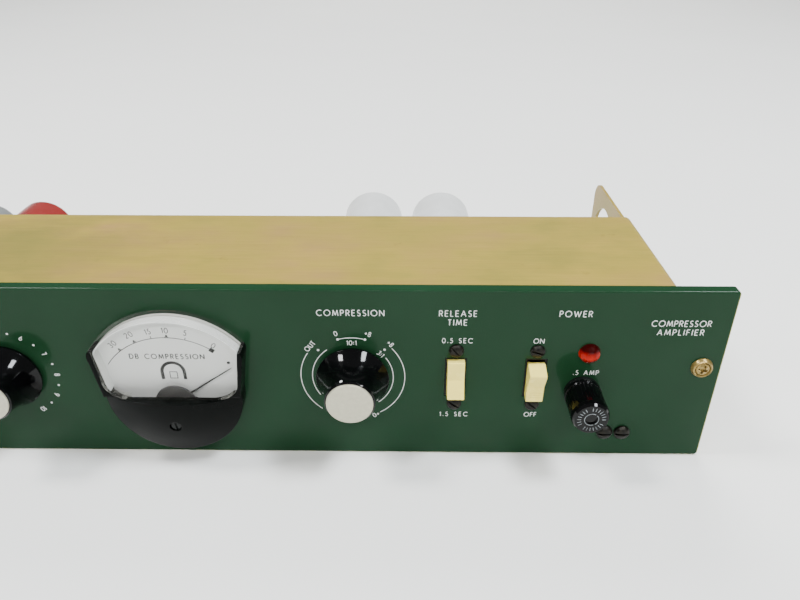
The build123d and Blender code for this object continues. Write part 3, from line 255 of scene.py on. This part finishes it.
def turned_aluminium():
    """Spun cap: fine rings and a satin sheen, a little yellow."""
    finish = Finish("turned_aluminium", 0.36, 0.35).set(Anisotropic=0.5, Specular_IOR_Level=0.4)
    finish.soft_edges(0.2 * MM)
    stops = [(0.3, (0.46, 0.44, 0.33, 1)), (0.7, (0.52, 0.50, 0.385, 1))]
    finish.colour(finish.ramp(finish.noise(500), stops))
    finish.roughness(finish.noise(300), 0.32, 0.42)
    finish.bump(finish.noise(1600), 0.15, 0.01 * MM)
    return finish.material


def clear_acrylic():
    """Thin clear moulding: light passes straight through, and it only shows where it is seen edge on."""
    finish = Finish("clear_acrylic", 0.04).set(Specular_IOR_Level=0.7)
    stops = [(0.3, (0.46, 0.455, 0.41, 1)), (0.7, (0.54, 0.535, 0.48, 1))]
    finish.colour(finish.ramp(finish.noise(60), stops))
    finish.roughness(finish.noise(500), 0.02, 0.06)
    fresnel = finish.tree.nodes.new("ShaderNodeFresnel")
    fresnel.inputs["IOR"].default_value = 1.3
    cover = finish.tree.nodes.new("ShaderNodeMapRange")
    cover.inputs["To Min"].default_value = 0.02
    cover.inputs["To Max"].default_value = 0.45
    finish.tree.links.new(fresnel.outputs["Fac"], cover.inputs["Value"])
    finish.tree.links.new(cover.outputs["Result"], finish.shader.inputs["Alpha"])
    return finish.material


def red_jewel():
    """Deep red cut jewel with painted light and shade by height: a painted orange red glow below its middle, and
    painted shade at its top and bottom.
    """
    finish = Finish("red_jewel", 0.06).set(Specular_IOR_Level=0.10)
    height = finish.along("Z", LAMP.z - 4.4 * MM, LAMP.z + 4.4 * MM)
    # Painted light and shade: dark at the top and bottom, a painted orange red glow just below the middle.
    stops = [(0.0, (0.030, 0.0010, 0.0006, 1)), (0.20, (0.17, 0.003, 0.001, 1)),
             (0.40, (0.38, 0.010, 0.002, 1)), (0.60, (0.25, 0.004, 0.001, 1)),
             (0.76, (0.030, 0.001, 0.001, 1)), (1.0, (0.020, 0.001, 0.001, 1))]
    painted_glow_and_shade = finish.ramp(height, stops)
    swirl = finish.ramp(finish.noise(500, 2), [(0.3, (0.75, 0.7, 0.7, 1)), (0.7, (1.1, 1.1, 1.1, 1))])
    finish.colour(finish.mix(1.0, painted_glow_and_shade, swirl, "MULTIPLY"))
    finish.roughness(finish.noise(800), 0.04, 0.09)
    return finish.material


def black_screw():
    """Black oxide on brass: dark crowns, rubbed to brown metal on the rims and in the slots."""
    finish = Finish("black_screw", 0.34, 0.5).set(Specular_IOR_Level=0.3).soft_edges(0.25 * MM)
    stops = [(0.35, (0.003, 0.003, 0.0025, 1)), (0.75, (0.016, 0.013, 0.008, 1))]
    base = finish.ramp(finish.noise(700), stops)
    finish.colour(finish.worn_edges(base, (0.12, 0.09, 0.045, 1), 0.58, 0.72))
    finish.roughness(finish.noise(1200), 0.26, 0.44)
    finish.bump(finish.noise(2600), 0.3, 0.02 * MM)
    return finish.material


PAINTS = {
    "green_paint": green_enamel(),
    "gold_passivate": gold_passivate(),
    "zinc_steel": simple_finish("zinc_steel", linear(186, 187, 184), 0.32, 0.9),
    "gold_screw": simple_finish("gold_screw", (0.30, 0.21, 0.065, 1), 0.30, 0.6, edge=0.15 * MM),
    "black_bakelite": gloss_black("black_bakelite", 0.13, 0.16, (0.0060, 0.0072, 0.0068, 1)),
    "clear_acrylic": clear_acrylic(),
    "white_dial": simple_finish("white_dial", (0.72, 0.73, 0.71, 1), 0.55, spread=0.02),
    "case_grey": simple_finish("case_grey", (0.46, 0.45, 0.40, 1), 0.3, spread=0.04),
    "dark_bridge": simple_finish("dark_bridge", (0.035, 0.033, 0.034, 1), 0.42, edge=0.2 * MM),
    "magnet_iron": simple_finish("magnet_iron", linear(84, 84, 86), 0.5, 0.8),
    "soft_iron": simple_finish("soft_iron", linear(150, 150, 148), 0.38, 0.9),
    "spring_bronze": simple_finish("spring_bronze", linear(206, 160, 88), 0.3, 0.9),
    "needle_black": simple_finish("needle_black", (0.010, 0.010, 0.011, 1), 0.5, Specular_IOR_Level=0.2),
    "coil_former": simple_finish("coil_former", linear(180, 120, 70), 0.4, 0.7),
    "knob_black": gloss_black("knob_black", 0.07, 0.2, (0.0012, 0.0012, 0.0014, 1), 0.3 * MM),
    "spun_aluminium": turned_aluminium(),
    "steel_shaft": simple_finish("steel_shaft", linear(170, 168, 164), 0.28, 0.95),
    "phenolic": simple_finish("phenolic", linear(122, 82, 48), 0.48),
    "pot_can": simple_finish("pot_can", linear(164, 164, 160), 0.34, 0.9),
    "ivory_plastic": simple_finish("ivory_plastic", (0.92, 0.76, 0.17, 1), 0.26, spread=0.03,
                                   edge=0.3 * MM, Specular_IOR_Level=0.4),
    "black_moulding": gloss_black("black_moulding", 0.34, 0.2, (0.0045, 0.0045, 0.0048, 1)),
    "black_screw": black_screw(),
    "red_jewel": red_jewel(),
    "bulb_glass": simple_finish("bulb_glass", linear(230, 230, 224), 0.05, Transmission_Weight=0.8),
    "fuse_glass": simple_finish("fuse_glass", linear(214, 220, 220), 0.08, Transmission_Weight=0.6),
    "can_grey": simple_finish("can_grey", (0.62, 0.63, 0.62, 1), 0.36, 0.15, spread=0.05, edge=0.4 * MM),
    "red_enamel": simple_finish("red_enamel", (0.19, 0.016, 0.014, 1), 0.22, edge=0.5 * MM),
    "grey_enamel": simple_finish("grey_enamel", (0.16, 0.17, 0.165, 1), 0.32, edge=0.5 * MM),
    "lamination": simple_finish("lamination", linear(58, 58, 60), 0.5, 0.6),
    "winding": simple_finish("winding", linear(166, 132, 78), 0.55),
    "bell_grey": simple_finish("bell_grey", linear(96, 102, 104), 0.36),
    "rubber_black": simple_finish("rubber_black", linear(24, 24, 24), 0.7),
    "plated_brass": simple_finish("plated_brass", linear(208, 190, 132), 0.3, 0.9),
    "components": simple_finish("components", linear(130, 96, 64), 0.5),
    "wire_loom": simple_finish("wire_loom", linear(96, 84, 58), 0.6),
}


def paint_cad_nodes():
    """Give every CAD node the finish of its slot in the record."""
    for part in frame["record"]["subparts"]:
        node = NODES[part["node"]]
        node.data.materials.clear()
        node.data.materials.append(PAINTS[part["material_slot"]])
    NODES["fuse_cap"].data.materials[0] = PAINTS["knob_black"]
    cover_black = gloss_black("cover_black", 0.10, 0.05, (0.0014, 0.0019, 0.0016, 1), 0.8 * MM)
    NODES["meter_lower_cover"].data.materials[0] = cover_black


# ---- making pieces ------------------------------------------------------------------------------
def add_piece(name, mesh_or_curve, body, slot, paint=None, smooth=False):
    piece = bpy.data.objects.new(name, mesh_or_curve)
    bpy.context.scene.collection.objects.link(piece)
    piece.data.materials.append(paint or PAINTS[slot])
    if smooth:
        for polygon in piece.data.polygons:
            polygon.use_smooth = True
    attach(piece, body)
    return piece


# Stroke letters: width, then strokes in a box one unit high. A stroke is a list of points, or
# (centre x, centre y, radius x, radius y, start, end) for an arc in degrees.
RING = (0.5, 0.5, 0.5, 0.5, 0, 360)
LETTERS = {
    "A": (0.78, [[(0, 0), (0.39, 1), (0.78, 0)], [(0.14, 0.34), (0.64, 0.34)]]),
    "B": (0.52, [[(0.26, 1), (0, 1), (0, 0), (0.28, 0)], [(0, 0.53), (0.28, 0.53)],
                 (0.26, 0.765, 0.2, 0.235, 90, -90), (0.28, 0.265, 0.24, 0.265, 90, -90)]),
    "C": (0.82, [(0.5, 0.5, 0.5, 0.5, 48, 312)]),
    "D": (0.7, [[(0.22, 1), (0, 1), (0, 0), (0.22, 0)], (0.22, 0.5, 0.48, 0.5, 90, -90)]),
    "E": (0.48, [[(0.48, 1), (0, 1), (0, 0), (0.48, 0)], [(0, 0.52), (0.44, 0.52)]]),
    "F": (0.46, [[(0.46, 1), (0, 1), (0, 0)], [(0, 0.52), (0.42, 0.52)]]),
    "I": (0.0, [[(0, 0), (0, 1)]]),
    "L": (0.42, [[(0, 1), (0, 0), (0.42, 0)]]),
    "M": (0.9, [[(0, 0), (0.13, 1), (0.45, 0.1), (0.77, 1), (0.9, 0)]]),
    "N": (0.74, [[(0, 0), (0, 1), (0.74, 0), (0.74, 1)]]),
    "O": (1.0, [RING]),
    "P": (0.5, [[(0.25, 1), (0, 1), (0, 0)], [(0, 0.46), (0.25, 0.46)],
                (0.25, 0.73, 0.25, 0.27, 90, -90)]),
    "R": (0.54, [[(0.25, 1), (0, 1), (0, 0)], [(0, 0.46), (0.25, 0.46), (0.54, 0)],
                 (0.25, 0.73, 0.25, 0.27, 90, -90)]),
    "S": (0.5, [(0.25, 0.745, 0.2, 0.255, 35, 270), (0.25, 0.245, 0.23, 0.245, 90, -150)]),
    "T": (0.52, [[(0, 1), (0.52, 1)], [(0.26, 1), (0.26, 0)]]),
    "U": (0.62, [[(0, 1), (0, 0.31)], (0.31, 0.31, 0.31, 0.31, 180, 360), [(0.62, 0.31), (0.62, 1)]]),
    "W": (1.14, [[(0, 1), (0.3, 0), (0.57, 0.92), (0.84, 0), (1.14, 1)]]),
    "0": (0.62, [(0.31, 0.5, 0.31, 0.5, 0, 360)]),
    "1": (0.18, [[(0, 0.8), (0.18, 1), (0.18, 0)]]),
    "2": (0.5, [(0.25, 0.73, 0.23, 0.27, 165, -35), [(0.44, 0.58), (0, 0), (0.5, 0)]]),
    "3": (0.46, [(0.22, 0.76, 0.19, 0.24, 150, -90), (0.22, 0.26, 0.24, 0.26, 90, -150)]),
    "4": (0.54, [[(0.4, 0), (0.4, 1), (0, 0.28), (0.54, 0.28)]]),
    "5": (0.46, [[(0.42, 1), (0.12, 1), (0.06, 0.56)], (0.2, 0.31, 0.26, 0.31, 118, -145)]),
    "6": (0.54, [[(0.4, 1), (0.06, 0.44)], (0.27, 0.29, 0.27, 0.29, 0, 360)]),
    "7": (0.48, [[(0, 1), (0.48, 1), (0.14, 0)]]),
    "8": (0.48, [(0.24, 0.76, 0.2, 0.24, 0, 360), (0.24, 0.26, 0.24, 0.26, 0, 360)]),
    "9": (0.54, [[(0.14, 0), (0.48, 0.56)], (0.27, 0.71, 0.27, 0.29, 0, 360)]),
    ".": (0.1, [[(0, 0.03), (0.1, 0.03)], [(0, 0.11), (0.1, 0.11)]]),
    ":": (0.1, [[(0, 0.2), (0.1, 0.2)], [(0, 0.3), (0.1, 0.3)],
                [(0, 0.7), (0.1, 0.7)], [(0, 0.6), (0.1, 0.6)]]),
    "+": (0.5, [[(0, 0.5), (0.5, 0.5)], [(0.25, 0.25), (0.25, 0.75)]]),
    " ": (0.4, []),
}
ARC_STEP = 15
LETTER_WIDTH = 0.92


def arc_points(cx, cy, rx, ry, start, end):
    count = max(2, round(abs(end - start) / ARC_STEP))
    angles = [radians(start + (end - start) * k / count) for k in range(count + 1)]
    return [(cx + rx * cos(a), cy + ry * sin(a)) for a in angles]


class Print:
    """Flat printed strokes on a surface that faces the front, gathered into one piece."""

    def __init__(self, name, surface_y, width):
        self.curve = bpy.data.curves.new(name, "CURVE")
        self.curve.dimensions = "3D"
        self.curve.bevel_depth = width / 2
        self.curve.bevel_resolution = 1
        self.curve.use_fill_caps = True
        self.name = name
        self.y = surface_y

    def stroke(self, points, closed=False):
        """points are (x, z) in metres."""
        spline = self.curve.splines.new("POLY")
        spline.points.add(len(points) - 1)
        for point, (x, z) in zip(spline.points, points):
            point.co = (x, 0, z, 1)
        spline.use_cyclic_u = closed

    def text(self, words, x, z, height, angle=0.0, spacing=0.3):
        """Centred on (x, z), turned by angle; spacing is the gap between letters in heights."""
        widths = [LETTERS[letter][0] * LETTER_WIDTH for letter in words]
        total = sum(widths) + spacing * (len(words) - 1)
        turn = Matrix.Rotation(angle, 2)
        cursor = -total / 2
        for letter, width in zip(words, widths):
            for shape in LETTERS[letter][1]:
                straight = isinstance(shape, list)
                placed = []
                for u, v in shape if straight else arc_points(*shape):
                    flat = Vector(((cursor + u * LETTER_WIDTH) * height, (v - 0.5) * height))
                    spot = turn @ flat
                    placed.append((x + spot.x, z + spot.y))
                if straight:
                    for pair in zip(placed, placed[1:]):
                        self.stroke(pair)
                elif abs(shape[5] - shape[4]) == 360:
                    self.stroke(placed[:-1], True)
                else:
                    self.stroke(placed)
            cursor += width + spacing

    def arc(self, x, z, radius, start, end, step=3):
        count = max(2, round(abs(end - start) / step))
        angles = [radians(start + (end - start) * k / count) for k in range(count + 1)]
        self.stroke([(x + radius * cos(a), z + radius * sin(a)) for a in angles])

    def piece(self, body, slot, proud, paint=None):
        """Turn the strokes into a thin mesh that stands proud of the surface."""
        maker = bpy.data.objects.new(self.name + "_curve", self.curve)
        bpy.context.scene.collection.objects.link(maker)
        bpy.context.view_layer.update()
        mesh = bpy.data.meshes.new_from_object(maker)
        bpy.data.objects.remove(maker)
        squeeze = proud / (self.curve.bevel_depth)
        for vertex in mesh.vertices:
            vertex.co.y = self.y + vertex.co.y * squeeze
        mesh.materials.clear()
        return add_piece(self.name, mesh, body, slot, paint)


def disc(name, centre, radius, body, slot, proud=0.05 * MM, sides=24, turn=None):
    """A small raised dot, domed at its rim. It faces the front, unless turn is a rotation."""
    mesh = bmesh.new()
    rings = [(radius, 0.0), (radius * 0.92, -proud * 0.8), (radius * 0.6, -proud)]
    loops = []
    for ring_radius, y in rings:
        angles = [2 * pi * k / sides for k in range(sides)]
        loops.append([mesh.verts.new((ring_radius * cos(a), y, ring_radius * sin(a))) for a in angles])
    for outer, inner in zip(loops, loops[1:]):
        for k in range(sides):
            mesh.faces.new((outer[k], outer[(k + 1) % sides], inner[(k + 1) % sides], inner[k]))
    mesh.faces.new(loops[-1])
    bmesh.ops.recalc_face_normals(mesh, faces=mesh.faces)
    place = Matrix.Translation(centre) @ (turn or Matrix.Identity(4))
    bmesh.ops.transform(mesh, matrix=place, verts=mesh.verts)
    data = bpy.data.meshes.new(name)
    mesh.to_mesh(data)
    mesh.free()
    return add_piece(name, data, body, slot)


# ---- panel printing -----------------------------------------------------------------------------
INK = 0.05 * MM
CAP_HEIGHT = 2.75 * MM
SMALL_CAP = 2.3 * MM
SCALE_CAP = 2.2 * MM
INPUT_SCALE_RADIUS = 22.2 * MM
# Plain function words, each with its middle and the gap between its letters in letter heights.
LARGE_WORDS = (("COMPRESSION", COMPRESSION.x, 77.0 * MM, 0.39), ("RELEASE", RELEASE.x, 77.0 * MM, 0.39),
               ("TIME", RELEASE.x - 0.1 * MM, 72.6 * MM, 0.39), ("POWER", 174.7 * MM, 77.1 * MM, 0.39),
               ("COMPRESSOR", 219.5 * MM, 72.65 * MM, 0.31), ("AMPLIFIER", 219.9 * MM, 68.3 * MM, 0.42))
SMALL_WORDS = (("0.5 SEC", RELEASE.x + 0.2 * MM, 63.45 * MM, 0.42),
               ("1.5 SEC", RELEASE.x, 23.45 * MM, 0.46), ("ON", POWER.x, 63.5 * MM, 0.3),
               ("OFF", POWER.x - 0.1 * MM, 23.55 * MM, 0.3),
               (".5 AMP", LAMP.x - 0.1 * MM, 47.1 * MM, 0.38))


def panel_lettering():
    """The large words over the controls, and the small ones at the switches and the fuse."""
    for name, words, width, height in (("panel_lettering", LARGE_WORDS, 0.40 * MM, CAP_HEIGHT),
                                       ("switch_lettering", SMALL_WORDS, 0.34 * MM, SMALL_CAP)):
        ink = Print(name, FACE_Y, width)
        for word, x, z, gap in words:
            ink.text(word, x, z, height, spacing=gap)
        ink.piece("root", "white_dial", INK)


def compression_scale():
    """Two arcs each side and one on top, with their end marks."""
    ink = Print("compression_scale", FACE_Y, 0.36 * MM)
    x, z = COMPRESSION.x, COMPRESSION.z
    for radius, start, end in ((23.03, 147, 231), (23.03, 41, -59), (17.9, 127, 214), (17.9, 35, -51),
                               (20.5, 106.7, 73.5)):
        ink.arc(x, z, radius * MM, start, end)
    marks = (("0", 23.6, 106.5), ("+8", 23.6, 72.5), ("10:1", 17.9, 90), ("OUT", 24.2, 138.5),
             ("+8", 24.2, 46.5), ("3:1", 17.4, 44.5), ("+0", 23.4, -65))
    for words, radius, angle in marks:
        turn = radians(angle - 90)
        ink.text(words, x + radius * MM * cos(radians(angle)), z + radius * MM * sin(radians(angle)),
                 SCALE_CAP, turn, 0.28)
    ink.piece("root", "white_dial", INK)
    for number, (radius, angle) in enumerate(((20.5, 106.7), (20.5, 73.5), (20.3, 136), (20.3, 45.6))):
        spot = (x + radius * MM * cos(radians(angle)), FACE_Y, z + radius * MM * sin(radians(angle)))
        disc(f"compression_mark_{number}", spot, 0.55 * MM, "root", "white_dial")


def input_scale():
    """Numbers 0 to 10 round the input knob, with a dot between each pair."""
    ink = Print("input_scale", FACE_Y, 0.36 * MM)
    for number in range(11):
        angle = radians(240 - 30 * number)
        x, z = INPUT.x + INPUT_SCALE_RADIUS * cos(angle), INPUT.z + INPUT_SCALE_RADIUS * sin(angle)
        ink.text(str(number), x, z, SCALE_CAP, angle - pi / 2, 0.28)
    ink.piece("root", "white_dial", INK)
    for number in range(10):
        angle = radians(225 - 30 * number)
        x, z = INPUT.x + INPUT_SCALE_RADIUS * cos(angle), INPUT.z + INPUT_SCALE_RADIUS * sin(angle)
        spot = (x, FACE_Y, z)
        disc(f"input_mark_{number}", spot, 0.5 * MM, "root", "white_dial")


# ---- meter printing -----------------------------------------------------------------------------
DIAL_INK = 0.02 * MM
ARC_RADIUS = 33.0 * MM
ARC_ENDS = (144.9, 54.5)
DIAL_MARKS = ((30, 127.4), (20, 113.3), (15, 100.0), (10, 88.4), (5, 74.9))
ZERO_ANGLE = 54.0
DIAL_CENTRE = PIVOT + Vector((-0.9 * MM, 0, -0.35 * MM))
REST_DOT_ANGLE = 38.1


def on_dial(radius, angle):
    """(x, z) at that distance and direction from the printed arc's centre, a little off the pivot."""
    return DIAL_CENTRE.x + radius * cos(radians(angle)), DIAL_CENTRE.z + radius * sin(radians(angle))


def dial_text(ink, words, radius, angle, height):
    ink.text(words, *on_dial(radius, angle), height, radians(angle - 90), 0.32)


def meter_scale():
    """The arc, its ticks and wedges, and the numbers outside it."""
    ink = Print("meter_scale", DIAL_Y, 0.38 * MM)
    ink.arc(DIAL_CENTRE.x, DIAL_CENTRE.z, ARC_RADIUS, *ARC_ENDS)
    for number, angle in DIAL_MARKS:
        if number in (10, 20, 30):
            tip = on_dial(ARC_RADIUS + 1.5 * MM, angle)
            for side in (-1, 0, 1):
                ink.stroke([on_dial(ARC_RADIUS, angle + side * 1.3), tip])
        else:
            ink.stroke([on_dial(ARC_RADIUS, angle), on_dial(ARC_RADIUS + 1.3 * MM, angle)])
        reach = 4.5 if number >= 20 else 3.6
        dial_text(ink, str(number), ARC_RADIUS + reach * MM, angle + 0.6, 2.5 * MM)
    dial_text(ink, "0", ARC_RADIUS + 2.5 * MM, ZERO_ANGLE + 1.0, 2.5 * MM)
    ink.piece("root", "needle_black", DIAL_INK)


def meter_words():
    words = Print("meter_words", DIAL_Y, 0.46 * MM)
    words.text("DB COMPRESSION", PIVOT.x - 1.5 * MM, PIVOT.z + 23.0 * MM, 2.4 * MM, spacing=0.43)
    words.piece("root", "needle_black", DIAL_INK)


def meter_zero_bar():
    """A thick bar across the arc's right end, and the dot that the needle rests by."""
    bar = Print("meter_zero_bar", DIAL_Y, 2.6 * MM)
    bar.stroke([on_dial(ARC_RADIUS - 1.1 * MM, ZERO_ANGLE), on_dial(ARC_RADIUS + 1.0 * MM, ZERO_ANGLE)])
    bar.piece("root", "needle_black", DIAL_INK)
    x, z = on_dial(32.8 * MM, REST_DOT_ANGLE)
    disc("meter_rest_dot", (x, DIAL_Y, z), 0.75 * MM, "root", "needle_black", DIAL_INK)


def meter_symbol():
    """The plain sign for a moving-coil instrument: a horseshoe magnet with a coil between its legs."""
    sign = Print("meter_symbol", DIAL_Y, 1.5 * MM)
    x, z = PIVOT.x, PIVOT.z + 14.9 * MM
    half, foot = 4.9 * MM, -4.0 * MM
    bend = arc_points(x, z, half, half, 180, 0)
    sign.stroke([(x - half, z + foot), *bend, (x + half, z + foot)])
    sign.piece("root", "needle_black", DIAL_INK)
    coil = Print("meter_symbol_coil", DIAL_Y, 0.55 * MM)
    side, low = 1.6 * MM, z - 3.4 * MM
    coil.stroke([(x - side, low), (x - side, z), (x + side, z), (x + side, low)], True)
    coil.piece("root", "needle_black", DIAL_INK)


# ---- small details ------------------------------------------------------------------------------
def pointer_dots():
    """White filling in each knob's pointer hole, beside its cap."""
    reach = 10.85 * MM
    for name, centre, angle in (("compression", COMPRESSION, 108), ("input", INPUT, 90)):
        a = radians(angle)
        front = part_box(f"{name}_knob")[0].y
        spot = (centre.x + reach * cos(a), front + 1.5 * MM, centre.z + reach * sin(a))
        facing = Matrix.Rotation(-a, 4, "Y") @ Matrix.Rotation(pi / 2, 4, "Z")
        body = f"{name}_control"
        disc(f"{name}_pointer_dot", spot, 0.68 * MM, body, "white_dial", 0.12 * MM, turn=facing)


def fuse_cap_face():
    """A light ring round the hollow in the fuse cap's face, and a ring of plain ticks round that."""
    ink = Print("fuse_cap_ring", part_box("fuse_cap")[0].y, 0.34 * MM)
    ink.arc(FUSE.x, FUSE.z, 3.0 * MM, 60, 290, 10)
    ink.arc(FUSE.x, FUSE.z, 3.0 * MM, 305, 405, 10)
    for step in range(24):
        if step % 8 != 7:
            a = 2 * pi * step / 24
            ends = [(FUSE.x + r * MM * cos(a), FUSE.z + r * MM * sin(a)) for r in (4.4, 6.1)]
            ink.stroke(ends)
    worn = simple_finish("worn_print", (0.16, 0.18, 0.19, 1), 0.5, spread=0.6, grain=2200)
    ink.piece("fuse_grip", "white_dial", DIAL_INK, worn)


def rocker_lines():
    """Three fine ridges moulded across the lower half of the power rocker."""
    ridges = Print("power_rocker_ridges", 0.0, 0.16 * MM)
    for drop in (3.4, 4.7, 6.0):
        ridges.stroke([(-2.9 * MM, -drop * MM), (2.9 * MM, -drop * MM)])
    piece = ridges.piece("power_lever", "ivory_plastic", 0.06 * MM)
    low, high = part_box("power_rocker")
    slope = Matrix.Rotation(radians(-11), 4, "X")
    valley = Matrix.Translation((0, -6.72 * MM, 0))
    place = Matrix.Translation(((low.x + high.x) / 2, POWER_PIVOT.y, POWER_PIVOT.z))
    tilt = Matrix.Rotation(radians(14), 4, "X")
    piece.data.transform(place @ tilt @ valley @ slope)


def pivot_screw():
    """Brass centre in the dark bridge over the needle's pivot."""
    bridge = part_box("meter_pivot_cover")[0]
    spot = (PIVOT.x, bridge.y + 0.1 * MM, PIVOT.z)
    disc("meter_pivot_screw", spot, 1.1 * MM, "root", "spring_bronze", 0.5 * MM)


# ---- camera, stage and light --------------------------------------------------------------------
def camera():
    """Ahead of the panel, a little to the right of its middle, looking down and to the rear."""
    data = bpy.data.cameras.new("camera")
    data.lens = 30.84
    data.sensor_width = 36
    data.clip_start = 0.01
    eye = bpy.data.objects.new("camera", data)
    bpy.context.scene.collection.objects.link(eye)
    eye.location = (0.10433, FACE_Y - 0.24640, PANEL_LOW.z + 0.22476)
    eye.rotation_euler = (radians(90 - 29.84), radians(0.055), radians(0.739))
    bpy.context.scene.camera = eye


def soft_light(name, place, size, power, colour=(1, 1, 1), mirrored=True):
    """A rectangular lamp aimed at the object. One that isn't mirrored gives it no highlight."""
    lamp = bpy.data.lights.new(name, "AREA")
    lamp.shape = "RECTANGLE"
    lamp.size, lamp.size_y = size
    lamp.energy = power
    lamp.color = colour
    light = bpy.data.objects.new(name, lamp)
    bpy.context.scene.collection.objects.link(light)
    light.location = place
    light.rotation_euler = (-Vector(place)).to_track_quat("-Z", "Y").to_euler()
    light.visible_glossy = mirrored


def studio():
    """Pale floor and low wall in a darker room, two lamps overhead and a long strip ahead."""
    floor = bmesh.new()
    half = 3.5
    profile = [(-2.5, 0.0), (1.9, 0.0), (2.2, 0.03), (2.45, 0.12), (2.6, 0.3), (2.65, 0.6)]
    rows = [[floor.verts.new((x, y, z - 0.0002)) for x in (-half, half)] for y, z in profile]
    for near, far in zip(rows, rows[1:]):
        floor.faces.new((near[0], near[1], far[1], far[0]))
    data = bpy.data.meshes.new("floor")
    floor.to_mesh(data)
    floor.free()
    stage = bpy.data.objects.new("floor", data)
    bpy.context.scene.collection.objects.link(stage)
    white = simple_finish("stage_white", (0.84, 0.84, 0.815, 1), 0.7, grain=40, spread=0.01,
                          Specular_IOR_Level=0.1)
    stage.data.materials.append(white)
    world = bpy.data.worlds.new("world")
    world.use_nodes = True
    world.node_tree.nodes["Background"].inputs["Color"].default_value = (0.95, 1.0, 0.98, 1)
    world.node_tree.nodes["Background"].inputs["Strength"].default_value = 0.29
    bpy.context.scene.world = world
    soft_light("lamp_right", (0.98, -0.22, 1.60), (0.50, 0.36), 42, (0.90, 0.95, 1.0))
    soft_light("lamp_left", (-0.90, -0.06, 1.52), (0.32, 0.36), 26)
    soft_light("strip_ahead", (0.0, -1.35, 1.35), (3.4, 0.07), 42)
    soft_light("fill_behind", (0.1, 2.2, 2.0), (1.6, 1.6), 78, mirrored=False)


paint_cad_nodes()
camera()
studio()
panel_lettering()
compression_scale()
input_scale()
meter_scale()
meter_words()
meter_zero_bar()
meter_symbol()
pointer_dots()
fuse_cap_face()
rocker_lines()
pivot_screw()
